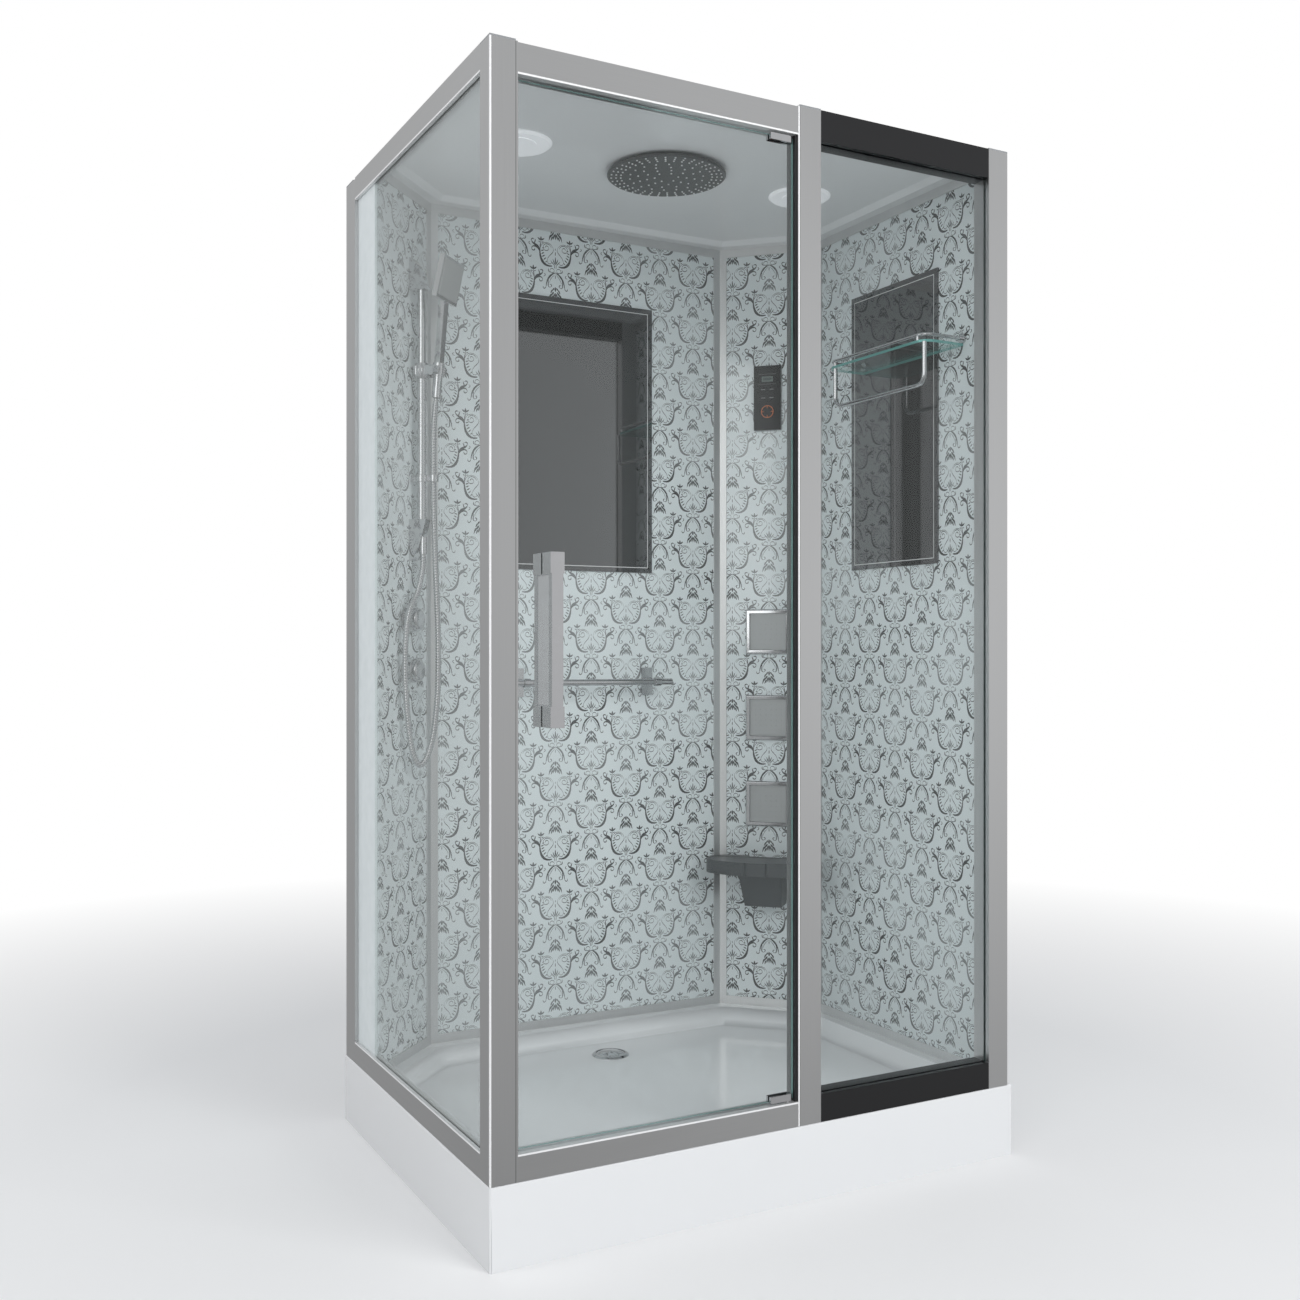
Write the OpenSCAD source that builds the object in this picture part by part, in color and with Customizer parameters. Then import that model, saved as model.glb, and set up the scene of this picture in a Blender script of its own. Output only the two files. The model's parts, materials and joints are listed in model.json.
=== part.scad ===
// Hydromassage shower cabin in millimetres: a moulded tray, an aluminium frame with one pivot door,
// glass panes, glass wall panels, a roof with an overhead shower and two lamps, three body jets,
// a control panel, a hand shower on a riser rail, a folding seat, a shelf and a towel bar.
// The origin is the middle of the footprint on the floor, +Z is up, the door looks along -Y
// and the glazed side looks along -X.

/* [Cabin] */
// Width of the tray along the glazed front
cabin_w = 1200; // [1120:10:1400]
// Depth of the tray
cabin_d = 900; // [860:10:1000]
// Height of the frame above the floor
cabin_h = 2150; // [2080:10:2250]
// Length of each 45 degree corner panel along the two walls it cuts off
corner_leg = 185; // [175:5:230]

/* [Tray] */
// Height of the tray rim above the floor
tray_h = 150; // [130:5:180]
// Depth of the basin below the rim
basin_depth = 42; // [30:1:60]
// Width of the flat rim between the walls and the basin
basin_margin = 32; // [24:1:50]
// Thickness of the moulded shell
tray_shell = 6; // [4:0.5:10]
// Diameter of the drain flange
drain_d = 88; // [80:1:110]
// Distance from the back wall to the drain axis
drain_back = 153; // [140:1:220]

/* [Frame] */
// Face width of the front corner post
corner_post_w = 49; // [44:1:60]
// Face width of the post between the door and the fixed pane
mid_post_w = 50; // [44:1:60]
// Face width of the right hand post
right_post_w = 52; // [44:1:60]
// Depth of the front posts and rails
post_d = 46; // [40:1:60]
// Height of the front rails, lip included
rail_h = 55; // [45:1:65]
// Height of the side rails, lip included
side_rail_h = 50; // [40:1:60]
// Depth of the side rails
side_rail_d = 20; // [18:1:24]
// Wall of the aluminium profiles
profile_t = 2; // [1.5:0.1:3]
// Width of the clear door opening between the posts
door_bay_w = 592; // [540:1:640]
// Thickness of the glass panes
glass_t = 5; // [4:0.5:6]

/* [Walls] */
// Thickness of the printed glass wall panels
wall_t = 5; // [4:0.5:8]
// Height of the aluminium trims at the top and bottom of the walls
trim_h = 21; // [15:1:30]
// Width of each leg of the corner trims
corner_trim_w = 19; // [14:1:26]
// Width of the back mirror
mirror_w = 388; // [300:1:480]
// Height of the mirrors
mirror_h = 676; // [500:1:800]
// Distance from the top of the walls down to the mirrors
mirror_drop = 183; // [150:1:240]
// Width of the side mirror
side_mirror_w = 324; // [250:1:360]

/* [Roof fittings] */
// Diameter of the overhead shower
rain_d = 265; // [200:1:300]
// Diameter of the lamp rings
lamp_d = 145; // [120:1:170]
// Diameter of the lamp lenses
lens_d = 78; // [60:1:90]
// Distance of each lamp from the middle of the roof
lamp_x = 358; // [300:1:380]

/* [Jets and controls] */
// Outer size of the square jet bezels
jet_size = 118; // [100:1:124]
// Height of the lowest jet above the floor
jet_z = 681; // [670:1:720]
// Distance between the jets
jet_pitch = 225; // [200:1:250]
// Width of the control panel
panel_w = 72; // [60:1:90]
// Height of the control panel
panel_h = 168; // [140:1:200]
// Distance from the top of the walls down to the middle of the control panel
panel_drop = 398; // [340:1:440]

/* [Seat] */
// Width of the seat
seat_w = 282; // [260:1:300]
// Width of the seat at its hinge
seat_rear_w = 218; // [190:1:230]
// Reach of the seat from the corner panel
seat_reach = 163; // [150:1:185]
// Height of the top of the seat
seat_top = 548; // [520:1:560]
// Thickness of the seat
seat_t = 34; // [28:1:40]

/* [Shelf and towel bar] */
// Length of the glass shelf
shelf_l = 362; // [300:1:380]
// Depth of the glass shelf from the wall
shelf_d = 115; // [95:1:130]
// Distance from the top of the walls down to the glass shelf
shelf_drop = 377; // [350:1:400]
// Drop of the towel hoop below the shelf
hoop_drop = 96; // [80:1:120]
// Length of the towel bar
towel_bar_l = 440; // [420:1:520]
// Distance from the lower edge of the mirror down to the towel bar
towel_bar_drop = 278; // [225:1:331]

/* [Hand shower] */
// Diameter of the riser rail
riser_d = 20; // [18:0.5:22]
// Distance from the top of the walls down to the upper end of the riser rail
riser_drop = 202; // [180:1:220]
// Length of the riser rail
riser_l = 586; // [578:1:593]
// Distance from the upper end of the riser rail down to the slider
slider_drop = 216; // [208:1:228]
// Width of the square head of the handset
head_w = 106; // [90:1:112]
// Height of the square head of the handset
head_h = 96; // [88:1:108]
// Diameter of the control knobs
knob_d = 56; // [50:1:60]
// Distance from the lower end of the riser rail down to the diverter knob
diverter_drop = 200; // [192:1:212]
// Distance between the diverter knob and the mixer knob
knob_pitch = 116; // [107:1:132]

/* [Door handle] */
// Overall height of the door handle
handle_h = 310; // [250:1:360]
// Width of the door handle
handle_w = 27; // [22:1:32]
// Height of the middle of the door handle
handle_z = 1099; // [1000:1:1200]
// Reach of the handle from the glass
handle_reach = 36; // [32:1:50]

/* [Hidden] */

// Shared clearances and cuts
over = 1;
seat_gap = 0.3;
run_gap = 0.05;
moving_gap = 0.5;
round_fn = 48;
small_fn = 24;

// Planes of the tray and the frame
left_x = -cabin_w / 2;
right_x = cabin_w / 2;
front_y = -cabin_d / 2;
rear_y = cabin_d / 2;
frame_inset = 14;
frame_right = right_x - frame_inset;
lip_w = 4;
lip_d = 14;
pane_setback = 10.5;
side_setback = 8;
pane_y = front_y + pane_setback;
side_pane_x = left_x + side_setback;
groove_w = glass_t + 1.4;
groove_deep = 10;
rail_drop = 5;
rail_low = tray_h;
rail_top = cabin_h - rail_drop;
sill_step = 7;
sill_h = rail_h - sill_step;
head_step = 7;
head_rise = 3;
side_sill_step = 3;
side_sill_h = side_rail_h - side_sill_step;
frame_back = front_y + post_d;

// Posts along the front
door_left = left_x + corner_post_w + lip_w;
door_right = door_left + door_bay_w;
mid_left = door_right;
mid_right = mid_left + mid_post_w + lip_w;
right_left = frame_right - right_post_w;

// Walls: the inside outline of the cabin, anticlockwise from the front left
wall_back_inset = 20;
wall_side_inset = 15;
room_left = side_pane_x + glass_t + seat_gap;
room_right = right_x - wall_side_inset;
room_front = pane_y + glass_t;
room_back = rear_y - wall_back_inset;
room = [[room_left, room_front], [room_right, room_front],
    [room_right, room_back - corner_leg], [room_right - corner_leg, room_back],
    [room_left + corner_leg, room_back], [room_left, room_back - corner_leg]];
corner_w = corner_leg * sqrt(2);
roof_drop = 10;
wall_top = cabin_h - roof_drop;
wall_h = wall_top - tray_h;
trim_t = 3;
mirror_t = 4;

// Heights of what hangs on the walls
mirror_z = wall_top - mirror_drop - mirror_h;
panel_z = wall_top - panel_drop;
shelf_z = wall_top - shelf_drop;
towel_bar_z = mirror_z - towel_bar_drop;
riser_high = wall_top - riser_drop;
riser_low = riser_high - riser_l;
slider_z = riser_high - slider_drop;
diverter_z = riser_low - diverter_drop;
mixer_z = diverter_z - knob_pitch;

// Tray and what is under it
basin_z = tray_h - basin_depth;
basin_lean = 24;
basin_round = 14;
basin_corner = 45;
skirt_t = 8;
tube = 30;
tube_t = 2;
frame_z = basin_z - tray_shell - tube;
frame_side = 100;
frame_long = cabin_w - 2 * frame_side;
frame_edge = 65;
frame_edge_y = rear_y - frame_edge;
brace_share = 0.13;
brace_x = cabin_w * brace_share;
foot_r = 25;
foot_t = 6;
stud_r = 6;
nut_r = 11;
nut_h = 8;
drain_y = room_back - drain_back;
drain_r = drain_d / 2;
throat_r = 26;
throat_t = 2;
flange_t = 5;
trap_r = 48;
trap_z = 16;
trap_t = 3;
outlet_r = 20;
outlet_l = 42;
outlet_z = 44;
outlet_step = 1.5;
outlet_neck_r = outlet_r - outlet_step;
outlet_neck_l = 8;
cover_inset = 9;
cover_r = drain_r - cover_inset;
cover_t = 3;
cover_lug = 9;

// Door
pivot_inset = 16;
pivot_x = door_right - pivot_inset;
door_seal_w = 5;
seal_gap = 0.8;
door_edge_gap = 6;
door_pane_right = door_right - door_edge_gap;
door_pane_left = door_left + door_seal_w;
door_rise = 6;
door_low = rail_low + sill_h + door_rise;
door_high = rail_top - rail_h - door_rise;
pivot_r = 4;
pivot_boss_r = 9;
shoe_l = 45;
shoe_h = 13;
shoe_t = 16;
shoe_lap = 2.4;
pin_l = 14;
pin_root = 4;
handle_inset = 46;
handle_x = door_pane_left + handle_inset;
handle_block = 38;
handle_bar_w = 22;
handle_bar_t = 14;
handle_bolt_r = 4;
handle_seam = 1;

// Roof
roof_t = 4;
roof_rim = 30;
roof_slope = 14;
ceiling_z = wall_top + roof_drop + 1;
lamp_can_r = 50;
lamp_can_h = 36;
lamp_ring_t = 6;
rain_t = 10;
rain_drop = 4;
rain_edge = 3;
rain_lip = 2;
rain_neck_r = 15;
rain_pipe_r = 10.4;
pipe_r = 8;

// Sheets and fittings on the walls
jet_t = 9;
jet_rim = 11;
jet_chamfer = 3;
jet_plate_t = 3;
jet_body_r = 34;
jet_body_d = 36;
nozzle_r = 2;
nozzle_l = 1.6;
jet_grid = 6;
housing_t = 9;
panel_glass_t = 3;
seat_pin_r = 4;
seat_rear_gap = 6;
seat_fold_gap = 2.5;
seat_pivot_s = seat_t / 2 + max(seat_rear_gap, (seat_w - corner_w) / 2 + seat_fold_gap);
seat_round = 40;
seat_sweep_r = 250;
seat_lap = 0.5;
seat_rim = 7;
seat_dish = 2;
seat_boss = 12;
seat_seam_x = 27;
seam_w = 1;
seam_deep = 8;
knuckle_w = 90;
knuckle_r = 14;
knuckle_gap = 4;
knuckle_reach = seat_pivot_s + knuckle_r + knuckle_gap;
bracket_w = 112;
bracket_low_w = 97;
bracket_h = 92;
bracket_reach = 110;
bracket_low_reach = 64;
bar_r = 8;
bar_stand = 60;
bar_plate = [30, 6, 70];
bar_bracket_inset = 41;
bar_bracket_x = towel_bar_l / 2 - bar_bracket_inset;
shelf_t = 6;
shelf_corner = 28;
shelf_front_y = -316;
rod_r = 4;
rod_inset = 1;
hoop_r = 5;
hoop_bend = 24;
guard_rise = 15;
flange_r = 11;
flange_l = 5;
hoop_inset = 29;

// Hand shower on the left corner panel; x runs along the panel from its middle to the back
riser_x = 34;
riser_s = 26;
riser_r = riser_d / 2;
fin_w = 25;
fin_reach = 42;
fin_top_h = 75;
fin_low_h = 95;
fin_deep = 30;
fin_steps = 10;
hose_r = 7;
hose_bore_r = 5;
nipple_r = 9;
nipple_l = 40;
nipple_drop = 50;
outlet_s = 30;
outlet_low = riser_low - nipple_drop;
guide_rise = 124;
guide_z = riser_low + guide_rise;
guide_h = 15;
guide_arm = 10;
guide_s = 53;
guide_wall = 4;
guide_bore_r = hose_r + seat_gap * 2;
knob_x = 12;
knob_reach = 36;
knob_drum = 21;
knob_step = 2;
knob_edge = 6;
bead_r = 1.8;
bead_rise = 0.8;
rosette_r = 31;
rosette_t = 4;
stem_r = 6;
stem_gap = 3;
stem_reach = 22;
pipe_gap = 1;
body_pipe_r = 12;
valve_r = 24;
valve_d = 54;
inlet_r = 10.48;
inlet_l = 30;
inlet_pitch = 60;
block_h = 22;
collar_r = 20;
collar_h = 34;
collar_core_r = 17;
collar_lobe_r = 5;
collar_lobes = 12;
belly_r = 41;
cheek_t = 4;
block_d = 24;
cup_r = 15;
cup_h = 26;
cup_flange_r = 13.2;
cup_flange_t = 4;
grip_r = 12;
grip_gap = 0.08;
cup_pin_r = 4;
cup_pin_l = 2;
handset_x = 40;
handset_s = 65;
handset_lean = 5;
head_tilt = 7.7;
head_t = 12;
head_up = 159;
head_out = 0.6;
handle_size = [22, 14];
sleeve_r = 10.5;
sleeve_bore_r = 7.6;
sleeve_low = -62;
hose_end = -32;
cup_slot = 16;
face_margin = 7;
face_t = 2;
face_rib = 1;
face_ribs = 18;

// Route of the hose on the left corner panel: along it, out of it, up from the rail's lower end
hose_route = [[34, -30, -50], [34, -30, -66], [28, -30, -92], [10, -28, -137],
    [-15, -25, -170], [-30, -24, -197], [-35, -22, -232], [-35, -19.5, -282], [-34, -19.5, -342],
    [-29, -21, -402], [-22, -22.5, -452], [-12, -27, -502], [0, -36, -530], [14, -47, -517],
    [26, -57, -472], [33, -63, -412], [37, -66, -342], [39, -65, -237], [39, -62, -152],
    [39, -58, -62], [40, -54, 48], [40, -53, 124], [40, -53, 208], [40, -54, 248],
    [40, -56.6, 278], [40, -59.4, 306], [40, -60.8, 322], [40, -62.2, 338]];
hose_points = [for (p = hose_route) [p[0], p[1], p[2] + riser_low]];
hose_ribs = 180;
rib_rise = 0.9;
hose_sides = 8;
hose_fine = 12;
hose_tangent = 0.5;
bore_rings = 100;

// Vector helpers
function unit(v) = v / norm(v);
function left_normal(a, b) = let (d = unit(b - a)) [-d[1], d[0]];
function prev_of(p, i) = p[(i + len(p) - 1) % len(p)];
function next_of(p, i) = p[(i + 1) % len(p)];

// An outline moved inwards by d, or outwards where d is negative; the corners stay sharp
function inset(p, d) = [for (i = [0 : len(p) - 1])
    let (n1 = left_normal(prev_of(p, i), p[i]), n2 = left_normal(p[i], next_of(p, i)))
    p[i] + d * (n1 + n2) / (1 + n1 * n2)];

// A filled outline whose corners are rounded to radius r
module soft_outline(p, r) {
    inner = inset(p, r);
    tangents = [for (i = [0 : len(p) - 1], k = [0, 1])
        inner[i] - r * (k == 0 ? left_normal(prev_of(p, i), p[i]) : left_normal(p[i], next_of(p, i)))];
    polygon(tangents);
    for (c = inner) translate(c) circle(r, $fn = small_fn);
}

// Frames for what hangs on the walls: the wall face is y = 0 and the cabin is at -y
module on_back_wall() {
    translate([0, room_back, 0]) children();
}
module on_right_wall() {
    translate([room_right, 0, 0]) rotate([0, 0, -90]) children();
}
module on_left_corner() {
    at = left_corner_point(0, 0);
    translate([at[0], at[1], 0]) rotate([0, 0, 45]) children();
}
module on_right_corner() {
    translate([room_right - corner_leg / 2, room_back - corner_leg / 2, 0]) rotate([0, 0, -45]) children();
}
// A point x along the left corner panel and y behind it, in the plan of the whole cabin
function left_corner_point(x, y) =
    [room_left + corner_leg / 2 + (x - y) / sqrt(2), room_back - corner_leg / 2 + (x + y) / sqrt(2)];
// A rod along +Y from y = 0
module rod_y(r, l, fn = round_fn) {
    rotate([-90, 0, 0]) cylinder(r = r, h = l, $fn = fn);
}
module rod_x(r, l, fn = round_fn) {
    rotate([0, 90, 0]) cylinder(r = r, h = l, $fn = fn);
}

// Tray: a thin moulded shell with a skirt, a flat rim and a basin that leans in to its floor
module basin(extra, low, high) {
    hull() {
        for (k = [[0, high - over], [-basin_lean * 0.45, low + basin_round], [-basin_lean, low]])
            translate([0, 0, k[1]]) linear_extrude(over)
                soft_outline(inset(room, basin_margin - extra - k[0]), basin_corner, $fn = small_fn);
    }
}
module tray() {
    color("white")
    difference() {
        union() {
            difference() {
                translate([left_x, front_y, 0]) cube([cabin_w, cabin_d, tray_h]);
                translate([left_x + skirt_t, front_y + skirt_t, -over])
                    cube([cabin_w - 2 * skirt_t, cabin_d - 2 * skirt_t, tray_h - tray_shell + over]);
            }
            basin(tray_shell, basin_z - tray_shell, tray_h);
        }
        translate([0, 0, over]) basin(0, basin_z - over, tray_h + over);
        translate([0, drain_y, basin_z - tray_shell - over])
            cylinder(r = throat_r + seat_gap, h = tray_shell + 2 * over, $fn = round_fn);
    }
}

// Steel frame under the basin: square tubes butted together
module frame_tube_x(x, y, l) {
    translate([x, y - tube / 2, frame_z]) difference() {
        cube([l, tube, tube]);
        translate([-over, tube_t, tube_t]) cube([l + 2 * over, tube - 2 * tube_t, tube - 2 * tube_t]);
    }
}
module frame_tube_y(x, y, l) {
    translate([x, y, 0]) rotate([0, 0, 90]) frame_tube_x(0, 0, l);
}
module tray_frame() {
    side_l = 2 * frame_edge_y - tube;
    color("dimgray") {
        for (s = [-1, 1]) {
            frame_tube_x(-frame_long / 2, s * frame_edge_y, frame_long);
            frame_tube_y(s * (frame_long - tube) / 2, -side_l / 2, side_l);
            frame_tube_y(s * brace_x, -side_l / 2, side_l);
        }
        frame_tube_x(-brace_x + tube / 2, 0, 2 * brace_x - tube);
    }
}
module foot() {
    cylinder(r = foot_r, h = foot_t, $fn = round_fn);
    translate([0, 0, foot_t]) cylinder(r = stud_r, h = frame_z - foot_t, $fn = small_fn);
    translate([0, 0, frame_z - nut_h]) cylinder(r = nut_r, h = nut_h, $fn = 6);
}
module tray_feet() {
    color("gray") {
        foot();
        for (sx = [-1, 1], sy = [-1, 1])
            translate([sx * (frame_long / 2 - tube), sy * frame_edge_y, 0]) foot();
    }
}

// Drain: a flange that clamps the basin, a trap under it and a lift-out cover
module drain_flange() {
    color("silver")
    translate([0, drain_y, basin_z]) rotate_extrude($fn = 2 * round_fn) polygon([
        [throat_r - throat_t, flange_t * 0.4], [cover_r + moving_gap, flange_t * 0.4],
        [cover_r + moving_gap, flange_t], [drain_r - flange_t, flange_t],
        [drain_r, flange_t * 0.3], [drain_r, 0], [throat_r, 0],
        [throat_r, -tray_shell - flange_t * 2], [throat_r - throat_t, -tray_shell - flange_t * 2]]);
}
module drain_trap() {
    top = basin_z - tray_shell;
    color("gray")
    difference() {
        union() {
            translate([0, drain_y, trap_z]) cylinder(r = trap_r, h = top - trap_z, $fn = round_fn);
            translate([0, drain_y, outlet_z]) rod_y(outlet_neck_r, trap_r + outlet_neck_l + over);
            translate([0, drain_y + trap_r + outlet_neck_l, outlet_z]) rod_y(outlet_r, outlet_l);
        }
        translate([0, drain_y, trap_z + trap_t])
            cylinder(r = trap_r - trap_t, h = top - trap_z - 2 * trap_t, $fn = round_fn);
        translate([0, drain_y, top - trap_t - over])
            cylinder(r = throat_r + seat_gap, h = trap_t + 2 * over, $fn = round_fn);
        translate([0, drain_y, outlet_z]) rod_y(outlet_r - trap_t, trap_r + outlet_neck_l + outlet_l + over);
    }
}
module drain_cover() {
    color("lightgray")
    translate([0, drain_y, basin_z + flange_t * 0.4 + seat_gap]) {
        rotate_extrude($fn = 2 * round_fn) polygon([
            [0, 0], [cover_r, 0], [cover_r, cover_t * 0.5], [cover_r * 0.8, cover_t * 1.3],
            [cover_r * 0.4, cover_t * 1.8], [0, cover_t * 2]]);
        for (a = [0 : 120 : 359]) rotate([0, 0, a])
            translate([throat_r - throat_t - moving_gap - cover_t, -cover_t, -cover_lug])
                cube([cover_t, 2 * cover_t, cover_lug]);
    }
}

// Hollow profiles: a box w wide and d deep
module box_section(w, d) {
    difference() {
        square([w, d]);
        translate([profile_t, profile_t]) square([w - 2 * profile_t, d - 2 * profile_t]);
    }
}
// A box with a glazing groove in its right-hand side, g0 from the front
module grooved_section(w, d, g0) {
    difference() {
        union() {
            box_section(w, d);
            translate([w - groove_deep - profile_t, g0 - profile_t])
                square([groove_deep + profile_t, groove_w + 2 * profile_t]);
        }
        translate([w - groove_deep, g0]) square([groove_deep + over, groove_w]);
    }
}
groove_front = pane_setback - (groove_w - glass_t) / 2;
side_groove = side_setback - (groove_w - glass_t) / 2;
cap_t = 3;
post_h = cabin_h - tray_h - cap_t;
cap_plug = 12;

module front_left_post() {
    color("silver")
    translate([left_x, front_y, tray_h]) linear_extrude(post_h) difference() {
        union() {
            box_section(corner_post_w, post_d);
            translate([corner_post_w, 0]) square([lip_w, lip_d]);
            translate([side_groove - profile_t, post_d - groove_deep - profile_t])
                square([groove_w + 2 * profile_t, groove_deep + profile_t]);
        }
        translate([side_groove, post_d - groove_deep]) square([groove_w, groove_deep + over]);
    }
}
module mid_post() {
    color("silver")
    translate([mid_left, front_y, tray_h]) linear_extrude(post_h) {
        square([lip_w, lip_d]);
        translate([lip_w, 0]) grooved_section(mid_post_w, post_d, groove_front);
    }
}
module front_right_post() {
    color("silver")
    translate([frame_right, front_y, tray_h]) linear_extrude(post_h)
        mirror([1, 0]) grooved_section(right_post_w, post_d, groove_front);
}
rear_post_w = 53;
rear_post_x = 40;
rear_lip = 16;
rear_inset = 12;
rear_post_y = rear_y - rear_inset - rear_post_w;
module rear_left_post() {
    color("silver")
    translate([left_x, rear_post_y, tray_h]) linear_extrude(post_h) {
        box_section(rear_post_x, rear_post_w);
        translate([0, -rear_lip]) square([side_setback - seat_gap, rear_lip]);
    }
}
module cap(w, d) {
    cube([w, d, cap_t]);
    translate([profile_t + seat_gap, profile_t + seat_gap, -cap_plug])
        cube([profile_t, d - 2 * (profile_t + seat_gap), cap_plug]);
}
module post_caps() {
    color("gray") {
        translate([left_x, front_y, cabin_h - cap_t]) cap(corner_post_w, post_d);
        translate([mid_left + lip_w, front_y, cabin_h - cap_t]) cap(mid_post_w, post_d);
        translate([right_left + right_post_w, front_y, cabin_h - cap_t]) mirror([1, 0, 0])
            cap(right_post_w, post_d);
        translate([left_x, rear_post_y, cabin_h - cap_t]) cap(rear_post_x, rear_post_w);
    }
}

// Rails along X; the section is drawn in the Y-Z plane with the lip at the inner edge
module along_x(x, l) {
    translate([x, 0, 0]) rotate([90, 0, 90]) linear_extrude(l) children();
}
module plain_rail_section(h) {
    box_section(post_d, h - lip_w);
    translate([0, h - lip_w]) square([lip_d, lip_w]);
}
module glazed_rail_section(h) {
    difference() {
        union() {
            box_section(post_d, h);
            translate([groove_front - profile_t, h - groove_deep - profile_t])
                square([groove_w + 2 * profile_t, groove_deep + profile_t]);
        }
        translate([groove_front, h - groove_deep]) square([groove_w, groove_deep + over]);
    }
}
module pivot_socket(z, h) {
    translate([pivot_x, pane_y + glass_t / 2, z]) cylinder(r = pivot_boss_r, h = h, $fn = round_fn);
}
module pivot_bore(z, h) {
    translate([pivot_x, pane_y + glass_t / 2, z]) cylinder(r = pivot_r + run_gap, h = h, $fn = round_fn);
}
module door_top_rail() {
    low = rail_top - rail_h;
    l = door_bay_w + lip_w;
    color("silver")
    difference() {
        union() {
            along_x(door_left - lip_w, l) translate([front_y, rail_top]) mirror([0, 1])
                plain_rail_section(rail_h);
            pivot_socket(low + lip_w, rail_h - lip_w);
        }
        translate([door_left - lip_w - over, front_y - over, low - over])
            cube([lip_w + over, lip_d + over, rail_h + 2 * over]);
        pivot_bore(low - over, pin_l + lip_w + over);
    }
}
module door_bottom_rail() {
    color("silver")
    difference() {
        union() {
            along_x(door_left - lip_w, door_bay_w + lip_w) translate([front_y, rail_low])
                plain_rail_section(sill_h);
            pivot_socket(rail_low, sill_h - lip_w);
        }
        translate([door_left - lip_w - over, front_y - over, rail_low - over])
            cube([lip_w + over, lip_d + over, sill_h + 2 * over]);
        pivot_bore(rail_low + sill_h - lip_w - pin_l, pin_l + lip_w + over);
    }
}
fixed_l = right_left - mid_right;
fixed_top_h = rail_h + head_step;
module fixed_top_rail() {
    color([0.16, 0.16, 0.17])
    along_x(mid_right, fixed_l) translate([front_y, rail_top + head_rise]) mirror([0, 1])
        glazed_rail_section(fixed_top_h);
}
module fixed_bottom_rail() {
    color([0.16, 0.16, 0.17])
    along_x(mid_right, fixed_l) translate([front_y, rail_low]) glazed_rail_section(rail_h);
}
// Rails along Y on the glazed side
side_rail_l = rear_post_y - frame_back;
module side_rail_section(h) {
    difference() {
        union() {
            box_section(side_rail_d, h);
            translate([side_groove - profile_t, h - groove_deep - profile_t])
                square([groove_w + 2 * profile_t, groove_deep + profile_t]);
        }
        translate([side_groove, h - groove_deep]) square([groove_w, groove_deep + over]);
    }
}
module along_y(y, l) {
    translate([0, y + l, 0]) rotate([90, 0, 0]) linear_extrude(l) children();
}
// The rails stop at the front face of the rear post and pass behind its lip
module side_rail_cut() {
    translate([left_x - over, rear_post_y - rear_lip, -over])
        cube([side_setback + over, rear_lip + over, cabin_h + 2 * over]);
}
module left_top_rail() {
    color("silver")
    difference() {
        along_y(frame_back, side_rail_l) translate([left_x, cabin_h]) mirror([0, 1])
            side_rail_section(side_rail_h);
        side_rail_cut();
    }
}
module left_bottom_rail() {
    color("silver")
    difference() {
        along_y(frame_back, side_rail_l) translate([left_x, rail_low]) side_rail_section(side_sill_h);
        side_rail_cut();
    }
}

// Panes stand in the grooves of the rails and posts
side_pane_low = rail_low + side_sill_h - groove_deep + seat_gap;
side_pane_high = cabin_h - side_rail_h + groove_deep - seat_gap;
split_y = room_back - corner_leg;
module left_glass() {
    y0 = frame_back - groove_deep + seat_gap;
    color([0.75, 0.85, 0.86, 0.35])
    translate([side_pane_x, y0, side_pane_low])
        cube([glass_t, split_y - seat_gap - y0, side_pane_high - side_pane_low]);
}
module frosted_panel() {
    color([0.88, 0.92, 0.93, 0.9])
    translate([side_pane_x, split_y, side_pane_low])
        cube([glass_t, rear_post_y - seat_gap - split_y, side_pane_high - side_pane_low]);
}
module fixed_glass() {
    low = rail_low + rail_h - groove_deep + seat_gap;
    high = rail_top + head_rise - fixed_top_h + groove_deep - seat_gap;
    x0 = mid_right - groove_deep + seat_gap;
    color([0.75, 0.85, 0.86, 0.35])
    translate([x0, pane_y, low])
        cube([right_left + groove_deep - seat_gap - x0, glass_t, high - low]);
}
module post_seal() {
    color([0.15, 0.15, 0.15])
    translate([door_pane_right + seal_gap, front_y + lip_w, rail_low + sill_h + seat_gap])
        cube([door_edge_gap - seal_gap, lip_d, rail_top - rail_h - rail_low - sill_h - 2 * seat_gap]);
}

// Wall panels stand behind the inside outline
module wall_panel(a, b) {
    d = b - a;
    translate([a[0], a[1], tray_h]) rotate([0, 0, atan2(d[1], d[0])]) cube([norm(d), wall_t, wall_h]);
}
wall_colour = [0.74, 0.79, 0.8];
module back_panel() {
    color(wall_colour) wall_panel(room[4], room[3]);
}
module left_corner_panel() {
    color(wall_colour)
    difference() {
        wall_panel(room[5], room[4]);
        for (z = [[tray_h - over, side_rail_h + over], [cabin_h - side_rail_h - seat_gap, side_rail_h + over]])
            translate([left_x, split_y - over, z[0]])
                cube([side_rail_d + seat_gap, corner_leg, z[1]]);
        translate([left_x, split_y - over, tray_h - over])
            cube([room_left - left_x, corner_leg, wall_h + 2 * over]);
        on_left_corner() {
            for (z = [mixer_z, diverter_z]) translate([knob_x, -over, z])
                rod_y(stem_r + stem_gap, wall_t + 2 * over);
            translate([riser_x, -over, riser_low]) rod_y(pipe_r + pipe_gap, wall_t + 2 * over);
        }
    }
}
module right_corner_panel() {
    color(wall_colour)
    difference() {
        wall_panel(room[3], room[2]);
        on_right_corner() for (i = [0 : 2]) translate([0, -over, jet_z + i * jet_pitch])
            rod_y(jet_body_r + seat_gap, wall_t + 2 * over);
    }
}
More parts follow.
